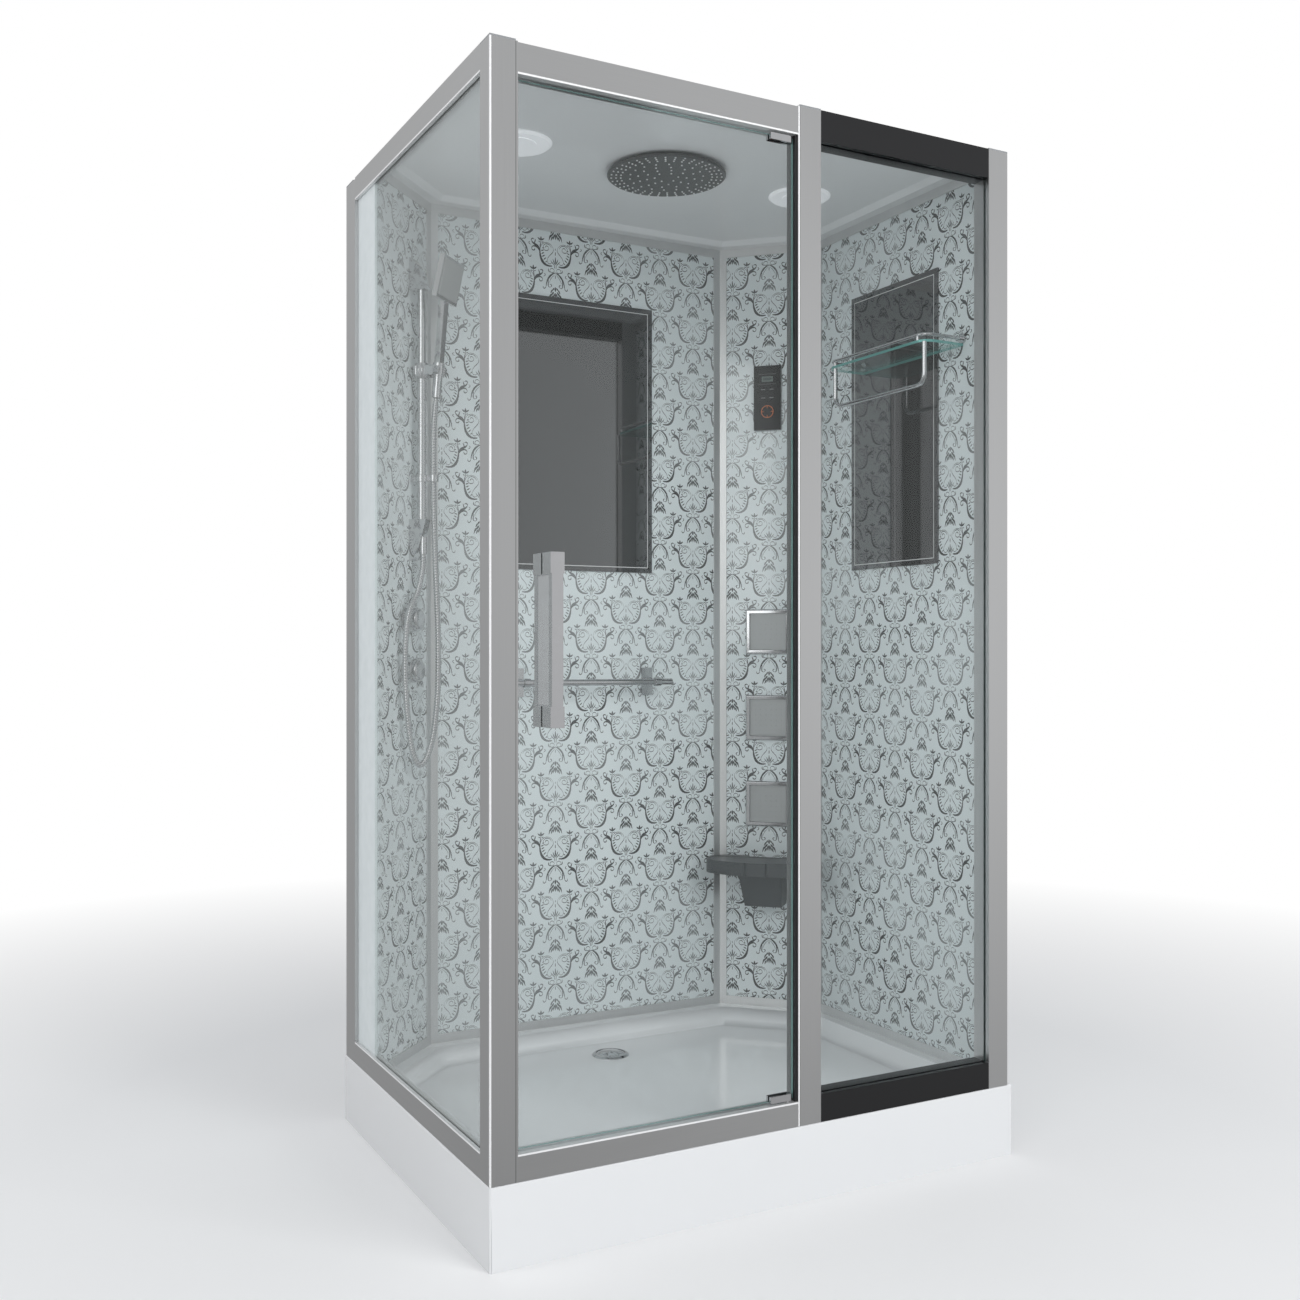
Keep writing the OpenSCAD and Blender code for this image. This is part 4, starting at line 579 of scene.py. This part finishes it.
def panel_glass(name):
    """Black gloss glass with a grey display between two fine lines, four key marks and a warm dial
    ring with four ticks. u runs along the corner panel and v up, both from the panel's middle."""
    made = Finish(name, IOR=1.5, Specular_IOR_Level=0.2)
    x, y, z = made.place()
    u, v = right_and_forward(x, y, RIGHT_CORNER), z - TOUCH_PANEL_HEIGHT
    soft = 0.0004

    def bar(at_u, at_v, wide, high):
        """1 inside a rectangle about a point, where the distance to its nearest side is above 0."""
        return (wide / 2 - abs(u - at_u)).smaller(high / 2 - abs(v - at_v)).step(0, soft)

    display_v, display_width = 0.049, 0.030
    display = bar(0, display_v, display_width, 0.014)
    comb = abs(u.math("PINGPONG", u + 1, 0.0027) - 0.0013).step(0.0006, soft)
    digits = bar(0, display_v, 0.022, 0.007) * comb
    lines = bar(0, 0.062, 0.046, 0.0006).larger(bar(0, 0.036, 0.046, 0.0006))
    keys = made.most([bar(at_u, at_v, 0.011, 0.0012)
                      for at_u in (-0.011, 0.011) for at_v in (0.022, 0.000)])
    dial_v, dial_radius, dial_line = -0.036, 0.0155, 0.0009
    dial = v - dial_v
    radius = (u * u + dial * dial).root()
    ring = 1 - abs(radius - dial_radius).step(dial_line, soft)
    cross = bar(0, dial_v, 0.0012, 0.030).larger(bar(0, dial_v, 0.030, 0.0012))
    warm = (ring * 0.8).larger(cross * radius.step(0.009, 0.0005))
    shade = made.blend(display, (0.006, 0.006, 0.007), (0.12, 0.15, 0.14))
    shade = made.blend(digits, shade, (0.02, 0.03, 0.03))
    shade = made.blend((lines * 0.5).larger(keys * 0.8), shade, (0.45, 0.45, 0.45))
    shade = made.blend(warm, shade, (0.75, 0.20, 0.05))
    made.set(Base_Color=shade, Roughness=made.noise(6.0) * 0.04 + 0.06)
    return made.material


def all_finishes(colours, width):
    """Every finish by name. width is that of the painted highlights, bright lines along the
    profiles' edges: on a rail the line's middle lies half of it in from the edge."""
    alu, trim = tuple(colours.aluminium), tuple(colours.trim)
    half = width / 2
    return {
        # painted highlights: bright lines along the rails' edges next to the panes, the corner
        # post's outer corner and a line on the middle post
        "alu_top": brushed("satin_aluminium_head", alu, 0,
                           edges=((2, DOOR_HEAD + half),), width=width),
        "alu_sill": brushed("satin_aluminium_sill", alu, 0,
                            edges=((2, DOOR_SILL - half),), width=width),
        "alu_y": brushed("satin_aluminium_side", alu, 1,
                         edges=((2, SIDE_HEAD + half), (2, SIDE_SILL - half)), width=width),
        "alu_corner": brushed("satin_aluminium_corner", alu, 2,
                              edges=(((0, -TRAY_SIDE), (1, -TRAY_END)),),
                              width=width * 1.8, grooves=((0, CORNER_POST_JOINT),)),
        "alu_mid": brushed("satin_aluminium_mid", alu, 2, edges=((0, MID_POST_HIGHLIGHT),),
                           width=width, grooves=((0, MID_POST_JOINT),)),
        "alu_z": brushed("satin_aluminium_z", alu, 2),
        "dark_x": brushed("graphite_aluminium", tuple(colours.graphite), 0, 0.34),
        "trim_z": brushed("trim_aluminium", trim, 2, 0.36),
        "steel": brushed("galvanised_steel", (0.42, 0.43, 0.44), 0, 0.42, 0.16),
        "chrome": polished("chrome_plate"),
        "hose": polished("hose_steel", (0.66, 0.66, 0.67), 0.14),
        # colour, roughness, coat, grain, relief and how much the shade changes
        "acrylic": moulded("white_acrylic", tuple(colours.acrylic), 0.22, 0.5, 400, 0.00001, 0.03),
        "roof": moulded("roof_acrylic", tuple(colours.acrylic), 0.30, 0.3, 500, 0.00002, 0.04),
        "lamp": moulded("lamp_plastic", (0.86, 0.87, 0.88), 0.30, 0.4, glow=0.22),
        "seat": moulded("slate_plastic", tuple(colours.seat), 0.42, 0.0, 1500, 0.00008, 0.15),
        "grey": moulded("grey_plastic", (0.30, 0.31, 0.32), 0.45, 0.0, 1200, 0.00006, 0.10),
        "jet": moulded("jet_plastic", (0.42, 0.43, 0.43), 0.35, 0.2, 1200, 0.00003, 0.08),
        "pipe": moulded("pipe_plastic", (0.55, 0.56, 0.57), 0.40, 0.0, 800, 0.00003, 0.08),
        "rain": moulded("graphite_paint", (0.075, 0.078, 0.078), 0.38, 0.1, 900, 0.00003, 0.10),
        "silicone": moulded("white_silicone", (0.85, 0.86, 0.86), 0.50, 0.0, 2000, 0.00002, 0.05),
        "seal": moulded("seal_rubber", (0.018, 0.018, 0.019), 0.55, 0.0, 1500, 0.00004, 0.15),
        "brass": valve_metal("cast_brass"),
        "glass": clear_glass("clear_glass"),
        "glass_front": clear_glass("clear_front_glass", flat=1),
        "shelf": clear_glass("shelf_glass_green", (0.90, 0.965, 0.955), 2, (0.16, 0.50, 0.46)),
        "frosted": frosted_glass("etched_glass"),
        "wall": wall_glass("printed_wall_glass", tuple(colours.wall)),
        "print": silver_print("damask_silver", tuple(colours.silver)),
        "back_mirror": mirror_glass("back_mirror_silver", (BACK_MIRROR, MIRROR_HEIGHT), (0, 2),
                                    (BACK_MIRROR_WIDTH, MIRROR_RISE)),
        "side_mirror": mirror_glass("side_mirror_silver", (SIDE_MIRROR, MIRROR_HEIGHT), (1, 2),
                                    (SIDE_MIRROR_WIDTH, MIRROR_RISE)),
        "panel": panel_glass("touch_glass"),
    }


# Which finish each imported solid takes
NODE_FINISH = {node: finish for finish, nodes in {
    "acrylic": "tray",
    "steel": "tray_frame tray_feet seat_pin",
    "alu_top": "door_top_rail",
    "alu_sill": "door_bottom_rail",
    "alu_y": "left_top_rail left_bottom_rail",
    "alu_corner": "front_left_post",
    "alu_mid": "mid_post",
    "alu_z": "front_right_post rear_left_post rear_profiles",
    "dark_x": "fixed_top_rail fixed_bottom_rail",
    "trim_z": "panel_trims",
    "glass": "left_glass",
    "glass_front": "fixed_glass door_glass",
    "frosted": "frosted_panel",
    "shelf": "shelf_glass",
    "wall": "back_panel left_corner_panel right_corner_panel right_panel",
    "back_mirror": "back_mirror",
    "side_mirror": "side_mirror",
    "panel": "control_glass",
    "roof": "roof",
    "lamp": "lamp_rings lamp_lenses",
    "rain": "rain_head",
    "silicone": "rain_nozzles",
    "seal": "post_seal",
    "grey": "post_caps control_housing",
    "jet": "jet_plates handset_face",
    "pipe": "drain_trap rain_pipe jet_pipework",
    "seat": "seat_bracket seat",
    "hose": "hose",
    "brass": "valve_body",
    "chrome": "drain_flange drain_cover jet_bezels towel_bar towel_brackets shelf_rail riser_rail "
              "riser_brackets hose_guide slider handset_holder handset mixer_knob diverter_knob "
              "door_fittings",
}.items() for node in nodes.split()}
# The finishes by name, once they are made
FINISHES = {}


# ---- Operators ----------------------------------------------------------------------------------


class CABIN_OT_camera(bpy.types.Operator):
    """Set the camera in front of the left corner, level, at chest height"""

    bl_idname = "cabin.camera"
    bl_label = "Camera"

    def execute(self, context):
        camera = bpy.data.cameras.new("camera")
        camera.sensor_width = 36
        camera.lens = 37.746
        camera.shift_y = 0.00175
        made = bpy.data.objects.new("camera", camera)
        made.location = (-1.47646, -2.65771, 1.07744)
        made.rotation_euler = (math.pi / 2, 0, -0.49503)
        context.scene.collection.objects.link(made)
        context.scene.camera = made
        return {"FINISHED"}


# The hose's route in millimetres: along the left corner panel, out of it and up
HOSE_ROUTE = [
    (34, 30, 1302), (34, 30, 1286), (28, 30, 1260), (10, 28, 1215), (-15, 25, 1182),
    (-30, 24, 1155), (-35, 22, 1120), (-35, 19.5, 1070), (-34, 19.5, 1010), (-29, 21, 950),
    (-22, 22.5, 900), (-12, 27, 850), (0, 36, 822), (14, 47, 835), (26, 57, 880),
    (33, 63, 940), (37, 66, 1010), (39, 65, 1115), (39, 62, 1200), (39, 58, 1290),
    (40, 54, 1400), (40, 53, 1476), (40, 53, 1560), (40, 54, 1600), (40, 56.6, 1630),
    (40, 59.4, 1658), (40, 60.8, 1674), (40, 62.2, 1690)]


class CABIN_OT_hose(bpy.types.Operator):
    """Hang the ribbed hose from the lower rail bracket, through the guide, to the hand shower"""

    bl_idname = "cabin.hose"
    bl_label = "Hose"

    def execute(self, context):
        sizes = context.scene.cabin_sizes
        x, out, z = np.array(HOSE_ROUTE, float).T * MM
        fine, steps, sides, rib_depth = 12, 6, 20, 0.00095
        path, length = even(catmull(left_corner(x, out, z), fine), sizes.hose_ribs * steps + 1)
        # between two ribs the radius dips by rib_depth times (1/2 - 1/2 cos(2 pi phase))^2
        phase = np.arange(len(path)) % steps / steps
        radius = sizes.hose_diameter / 2
        radii = radius - rib_depth * (0.5 - 0.5 * np.cos(2 * np.pi * phase)) ** 2
        # inside the handle the hose is narrower, by a smooth step t^2 (3 - 2 t) over its foot
        handle_foot, taper, narrower = 1.640, 0.020, 0.38
        inside = np.clip((path[:, 2] - handle_foot) / taper, 0, 1)
        inside = inside * (np.arange(len(path)) > len(path) / 2)
        radii = radii * (1 - narrower * inside * inside * (3 - 2 * inside))
        side = np.array([0.84, -0.54, 0.0])
        points, faces, caps = tube(path, radii, sides, side)
        metal = FINISHES["hose"]
        hose = make_piece("ribbed_hose", points, [faces, *caps], metal, "cabin")
        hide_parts("hose")
        hose.parent = None
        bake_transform(hose)
        return {"FINISHED"}


# Half of one damask motif in millimetres, right of its axis. Each stroke is a cubic curve by its
# four points, then its width at its widest, and where along it that is.
SCROLLS = [
    # the bowl and its rim
    ((42, 41), (43, 14), (32, -4), (9, 1), 6.0, 0.5),
    ((41, 40), (39, 61), (13, 63), (6, 45), 0.9, 0.4),
    # the S scroll and its curl
    ((6, 45), (1, 33), (20, 28), (22, 14), 1.3, 0.5),
    ((22, 14), (23, 3), (9, 3), (10, 12), 1.1, 0.5),
    # the inner spiral
    ((11, 45), (13, 57), (33, 58), (33, 44), 1.4, 0.5),
    ((33, 44), (32, 34), (17, 36), (18, 44), 1.5, 0.5),
    ((18, 44), (20, 51), (28, 50), (27, 44), 1.6, 0.6),
    # the handle with its leaf and its curl
    ((42, 36), (47, 51), (58, 46), (64, 56), 5.4, 0.40),
    ((64, 56), (67, 61), (60, 65), (57, 60), 2.6, 0.5),
    ((43, 34), (47, 46), (62, 48), (64, 39), 3.4, 0.45),
    ((64, 39), (64, 31), (53, 33), (56, 39), 2.4, 0.6),
    # the stem
    ((42, 40), (41, 50), (39, 54), (39, 61), 2.0, 0.3),
    # the tent below, its foot and its inner arm
    ((0, -15), (11, -18), (23, -30), (25, -50), 4.0, 0.45),
    ((25, -50), (26, -59), (35, -58), (33, -51), 2.0, 0.5),
    ((19, -32), (18, -42), (23, -53), (14, -52), 2.2, 0.45),
    ((14, -52), (8, -50), (10, -43), (15, -45), 2.0, 0.6),
    ((0, -19), (8, -24), (15, -33), (16, -41), 0.9, 0.5),
    # the bow
    ((3, -11), (3, -3), (15, -3), (15, -11), 1.3, 0.5),
    ((3, -11), (5, -17), (13, -17), (15, -11), 1.3, 0.5),
    ((13, -15), (18, -15), (20, -10), (18, -6), 2.0, 0.5),
    # the neighbour's hook under the handle
    ((66, 47), (72, 47), (73, 54), (68, 54), 1.6, 0.5),
]
# Leaves of the same motif: from, to and width
LEAVES = [
    ((39, 35), (31, 38), 2.6), ((38, 28), (30, 32), 2.8), ((36, 21), (28, 26), 2.8),
    ((32, 14), (25, 20), 2.6), ((27, 8), (21, 13), 2.2), ((36, 42), (30, 44), 2.0),
    ((39, 60), (39, 71), 4.2), ((38, 61), (30, 67), 3.6), ((40, 61), (48, 67), 3.6),
    ((37, 56), (32, 58), 2.2), ((41, 56), (46, 58), 2.2), ((57, 50), (53, 62), 2.8),
    ((1.5, 5), (7, 19), 2.4), ((3, 3), (13, 15), 1.8), ((1.8, -5), (2.6, 6), 1.5),
    ((3, -52), (8, -60), 3.4), ((8, -57), (13, -67), 3.6), ((4, -62), (12, -73), 4.2),
    ((10, -68), (17, -78), 4.6), ((2.5, -66), (6, -80), 3.4), ((7, -72), (12, -83), 3.6),
    ((14, -73), (18, -84), 2.4),
]
# Leaves on the axis itself
SPINE = [
    ((0, 5), (0, 24), 3.2), ((0, 27), (0, 37), 2.2), ((0, -21), (0, -30), 2.0),
    ((0, -50), (0, -62), 5.0), ((0, -64), (0, -80), 4.0), ((0, 40), (0, 46), 1.6),
]


def ribbon(points, widths):
    """A flat strip along a plane curve: two points for each of its own, set off square to it by
    half the width there."""
    slope = np.gradient(points, axis=0)
    slope /= np.linalg.norm(slope, axis=1, keepdims=True)
    off = np.stack([-slope[:, 1], slope[:, 0]], 1) * widths[:, None] / 2
    return np.stack([points + off, points - off], 1).reshape(-1, 2), strip_faces(len(points), 2)


def scroll(a, b, c, d, wide, peak):
    """A curved strip along the cubic (1-t)^3 a + 3 t (1-t)^2 b + 3 t^2 (1-t) c + t^3 d. Its width
    is (1.05 wide + 0.4) h (1.4 - 0.4 h), where h rises from 0.25 to 1 at the peak and falls to 0.3.
    """
    t = np.linspace(0, 1, 9)[:, None]
    a, b, c, d = (np.array(p, float) for p in (a, b, c, d))
    line = (1 - t) ** 3 * a + 3 * t * (1 - t) ** 2 * b + 3 * t ** 2 * (1 - t) * c + t ** 3 * d
    hump = np.interp(t[:, 0], [0, peak, 1], [0.25, 1, 0.3])
    return ribbon(line, (wide * 1.05 + 0.4) * hump * (1.4 - 0.4 * hump))


def leaf(a, b, wide, power):
    """A straight strip from a to b, whose width is wide times sin(pi (0.06 + 0.88 t^power)): a
    power below 1 brings its widest place nearer to a."""
    t = np.linspace(0, 1, 5)[:, None]
    line = np.array(a, float) * (1 - t) + np.array(b, float) * t
    return ribbon(line, wide * np.sin(np.pi * (0.06 + 0.88 * t[:, 0] ** power)))


def damask_motif():
    """All strips of one motif in metres: the right half, its mirror image with x times -1 and its
    faces turned back, and the leaves on the axis."""
    fuller, early = 1.1, 0.8
    half = [scroll(*stroke) for stroke in SCROLLS]
    half += [leaf(a, b, wide * fuller, early) for a, b, wide in LEAVES]
    mirrored = [(points * (-1, 1), faces[:, ::-1]) for points, faces in half]
    spine = [leaf(*stroke, 1) for stroke in SPINE]
    points, faces = merge(half + mirrored + spine)
    return points * MM, faces


def damask(width, low, high, pitch, rise, start, first):
    """Motifs in columns over a sheet: every second column is moved up by half a repeat. Points
    beyond the sheet's edge are brought back to it, and quads that vanish there are left out: their
    area is half the cross product of their diagonals."""
    edge, least_area = 0.002, 1e-8
    motif, faces = damask_motif()
    columns = np.arange(-1, int(width / pitch) + 3)
    rows = np.arange(-1, int((high - low) / rise) + 3)
    c, r = (g.ravel() for g in np.meshgrid(columns, rows, indexing="ij"))
    at = np.stack([start + c * pitch, first + (r + (c % 2) / 2) * rise], 1)
    points = (at[:, None] + motif[None]).reshape(-1, 2)
    numbers = (np.arange(len(at))[:, None, None] * len(motif) + faces[None]).reshape(-1, 4)
    points[:, 0] = np.clip(points[:, 0], edge, width - edge)
    points[:, 1] = np.clip(points[:, 1], low + edge, high - edge)
    a, b, c, d = (points[numbers[:, k]] for k in range(4))
    area = abs(np.cross(c - a, d - b)) / 2
    numbers = numbers[area > least_area]
    used, numbers = np.unique(numbers, return_inverse=True)
    return points[used], numbers.reshape(-1, 4)


class CABIN_OT_print(bpy.types.Operator):
    """Lay the silver damask on the four glass walls"""

    bl_idname = "cabin.print"
    bl_label = "Damask print"

    def execute(self, context):
        sizes = context.scene.cabin_sizes
        lift = 0.00012
        corner = CORNER_LEG / DIAGONAL
        back = ROOM_RIGHT - ROOM_LEFT - 2 * CORNER_LEG
        side_start = ROOM_BACK - CORNER_LEG

        def on_back(u, v):
            """Right from the left corner panel's end, lift in front of the wall."""
            return np.stack([ROOM_LEFT + CORNER_LEG + u, 0 * u + ROOM_BACK - lift, v], 1)

        def on_left_corner(u, v):
            """Along the panel, from half its width left of its middle."""
            return left_corner(u - corner / 2, lift, v)

        def on_right_corner(u, v):
            """The same on the right corner panel."""
            return right_corner(u - corner / 2, lift, v)

        def on_right(u, v):
            """Forward from the right corner panel's end, lift in front of the wall."""
            return np.stack([0 * u + ROOM_RIGHT - lift, side_start - u, v], 1)

        # each wall's name, width and place, and where its first column and its first motif are
        for name, width, place, start, first in (
                ("back", back, on_back, 0.0295, 0.196),
                ("left_corner", corner, on_left_corner, 0.012, 0.196),
                ("right_corner", corner, on_right_corner, 0.0345, 0.2695),
                ("right", side_start - RIGHT_WALL_FRONT, on_right, 0.020, 0.196)):
            flat, faces = damask(width, WALL_FOOT, WALL_HEAD, sizes.print_pitch,
                                 sizes.print_rise, start, first)
            points = place(flat[:, 0], flat[:, 1])
            make_piece("damask_" + name, points, faces[:, ::-1], FINISHES["print"], "cabin",
                       smooth=False)
        return {"FINISHED"}


class CABIN_OT_finishes(bpy.types.Operator):
    """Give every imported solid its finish"""

    bl_idname = "cabin.finishes"
    bl_label = "Finishes"

    def execute(self, context):
        width = context.scene.cabin_sizes.painted_highlight_width
        FINISHES.update(all_finishes(context.scene.cabin_colours, width))
        missing = sorted(set(frame["nodes"]) - set(NODE_FINISH))
        if missing:
            raise RuntimeError(f"these nodes have no finish: {missing}")
        for name, node in frame["nodes"].items():
            node.data.materials.clear()
            node.data.materials.append(FINISHES[NODE_FINISH[name]])
        return {"FINISHED"}


def away_from_seams(x, y, z):
    """True for points off the seat's two seams and off its hinge at the rear. u is how far a point
    lies along the right corner panel, and out how far it stands from it."""
    seam, seam_reach = 0.027, 0.002
    hinge_depth, hinge_half = 0.056, 0.060
    u = right_and_forward(x, y, RIGHT_CORNER)
    out = -((x - RIGHT_CORNER[0]) + (y - RIGHT_CORNER[1])) * DIAGONAL
    off_hinge = (out > hinge_depth) | (abs(u) > hinge_half)
    return (abs(abs(u) - seam) > seam_reach) & off_hinge


def tray_rim(x, y, z):
    """True for points on the tray's outer upper edge and its four upright edges: they lie on at
    least two of its outer faces."""
    near = 1e-4
    side, end = abs(abs(x) - TRAY_SIDE) < near, abs(abs(y) - TRAY_END) < near
    return side.astype(int) + end + (abs(z - TRAY_TOP) < near) >= 2


class CABIN_OT_edges(bpy.types.Operator):
    """Round the edges of the seat, the tray and the fittings"""

    bl_idname = "cabin.edges"
    bl_label = "Rounded edges"

    def execute(self, context):
        # each solid, how far its rounding reaches, in how many steps, and on which edges
        for node, width, segments, chosen in (
                ("seat", 0.0035, 4, away_from_seams), ("seat_bracket", 0.004, 3, None),
                ("tray", 0.004, 4, tray_rim), ("jet_bezels", 0.0008, 2, None),
                ("control_housing", 0.0015, 2, None), ("towel_brackets", 0.0012, 2, None),
                ("handset", 0.0016, 3, None), ("hose_guide", 0.0006, 2, None)):
            made = rounded(node, width, segments, chosen)
            made.data.materials.clear()
            made.data.materials.append(FINISHES[NODE_FINISH[node]])
        return {"FINISHED"}


class CABIN_OT_stage(bpy.types.Operator):
    """Set a white floor, a white surround and three soft lamps"""

    bl_idname = "cabin.stage"
    bl_label = "Stage"

    def floor(self):
        """A white floor that keeps the shadow and fades to plain white with the distance from the
        cabin, the root of x^2 + y^2. Polished pieces look through it at the surround."""
        half, fade_at, fade_over = 30.0, 2.6, 2.4
        floor = Finish("stage_floor", Base_Color=(0.93, 0.93, 0.93), Roughness=0.9)
        x, y, _ = floor.place()
        away = (x * x + y * y).root().step(fade_at, fade_over)
        rays = floor.node("LightPath")
        white = floor.node("Emission", {}, {"Color": (1, 1, 1), "Strength": 1.0})
        seen = Value(floor, rays.outputs["Is Camera Ray"]) * away
        plain = floor.node("MixShader", {}, {
            0: seen, 1: floor.shader.outputs[0], 2: white.outputs[0]})
        clear = floor.node("BsdfTransparent", {}, {0: (1, 1, 1)})
        mix = floor.node("MixShader", {}, {
            0: rays.outputs["Is Glossy Ray"], 1: plain.outputs[0], 2: clear.outputs[0]})
        floor.tree.links.new(mix.outputs[0], floor.output.inputs["Surface"])
        mesh = bpy.data.meshes.new("floor")
        mesh.from_pydata([(-half, -half, 0), (half, -half, 0), (half, half, 0), (-half, half, 0)],
                         [], [(0, 1, 2, 3)])
        mesh.materials.append(floor.material)
        made = bpy.data.objects.new("floor", mesh)
        bpy.context.scene.collection.objects.link(made)

    def surround(self, scene):
        """White where it is seen, an even pale grey where it lights, and for reflections a grey
        with one broad bright side to the front right, which grows lighter upwards: its level is
        (bright f^narrow + base) (1 + rise z), where f is how far a direction points that way."""
        front_right = (0.63, -0.776, 0.0)
        bright, narrow, base, rise = 0.50, 26.0, 0.46, 0.62
        world = bpy.data.worlds.new("surround")
        scene.world = world
        world.use_nodes = True
        tree = world.node_tree
        tree.nodes.clear()

        def add(kind, fed=(), out=0, **settings):
            """Adds a node, feeds its inputs in order and returns the output asked for."""
            made = tree.nodes.new("ShaderNode" + kind)
            for key, value in settings.items():
                setattr(made, key, value)
            for k, value in enumerate(fed):
                if isinstance(value, bpy.types.NodeSocket):
                    tree.links.new(value, made.inputs[k])
                else:
                    made.inputs[k].default_value = value
            return made.outputs[out]

        direction = add("TexCoord", out="Generated")
        height = add("VectorMath", (direction, (0, 0, 1)), "Value", operation="DOT_PRODUCT")
        side = add("VectorMath", (direction, front_right), "Value", operation="DOT_PRODUCT")
        front = add("Math", (side, 0.0), operation="MAXIMUM")
        beam = add("Math", (front, narrow), operation="POWER")
        glow = add("Math", (beam, bright, base), operation="MULTIPLY_ADD")
        lift = add("Math", (height, rise, 1.0), operation="MULTIPLY_ADD")
        level = add("Math", (glow, lift), operation="MULTIPLY")
        lit = add("Background", ((0.95, 0.97, 1.0, 1), 0.60))
        mirrored = add("Background", ((0.98, 0.99, 1.0, 1), level))
        white = add("Background", ((1, 1, 1, 1), 1.0))
        unseen = add("MixShader", (add("LightPath", out="Is Glossy Ray"), lit, mirrored))
        shown = add("MixShader", (add("LightPath", out="Is Camera Ray"), unseen, white))
        tree.links.new(shown, tree.nodes.new("ShaderNodeOutputWorld").inputs["Surface"])

    def execute(self, context):
        scene = context.scene
        scene.view_settings.view_transform = "Standard"
        self.floor()
        self.surround(scene)
        target = Vector((0, 0, 1.1))
        # each lamp's place, the side of its square face and its power in watts
        for name, at, size, power in (
                ("key_lamp", (1.4, -4.4, 3.2), 2.6, 95), ("fill_lamp", (-3.4, -3.0, 2.4), 2.6, 32),
                ("side_lamp", (-4.2, 0.6, 2.6), 2.2, 26)):
            lamp = bpy.data.lights.new(name, "AREA")
            lamp.shape, lamp.size, lamp.energy = "SQUARE", size, power
            made = bpy.data.objects.new(name, lamp)
            made.location = at
            made.rotation_euler = (target - Vector(at)).to_track_quat("-Z", "Y").to_euler()
            # the key lamp isn't mirrored, so the posts' faces stay grey
            made.visible_glossy = name != "key_lamp"
            scene.collection.objects.link(made)
        return {"FINISHED"}


class CABIN_PT_panel(bpy.types.Panel):
    """Lists the parts of the cabin's scene"""

    bl_label = "Shower cabin"
    bl_space_type = "VIEW_3D"
    bl_region_type = "UI"
    bl_category = "Shower cabin"

    def draw(self, context):
        column = self.layout.column()
        for group in (context.scene.cabin_colours, context.scene.cabin_sizes):
            for key in group.__annotations__:
                column.prop(group, key)
        for operator in OPERATORS:
            column.operator(operator.bl_idname)


OPERATORS = (CABIN_OT_camera, CABIN_OT_finishes, CABIN_OT_hose, CABIN_OT_edges, CABIN_OT_print,
             CABIN_OT_stage)
CLASSES = (CabinColours, CabinSizes, *OPERATORS, CABIN_PT_panel)


def register():
    """Makes the settings, the operators and the panel known to Blender."""
    for kind in CLASSES:
        bpy.utils.register_class(kind)
    bpy.types.Scene.cabin_colours = PointerProperty(type=CabinColours)
    bpy.types.Scene.cabin_sizes = PointerProperty(type=CabinSizes)


def unregister():
    """Takes them away again."""
    del bpy.types.Scene.cabin_sizes
    del bpy.types.Scene.cabin_colours
    for kind in reversed(CLASSES):
        bpy.utils.unregister_class(kind)


def main():
    """Runs the operators in order."""
    register()
    bpy.ops.cabin.camera()
    bpy.ops.cabin.finishes()
    bpy.ops.cabin.hose()
    bpy.ops.cabin.edges()
    bpy.ops.cabin.print()
    bpy.ops.cabin.stage()


if __name__ == "__main__":
    main()
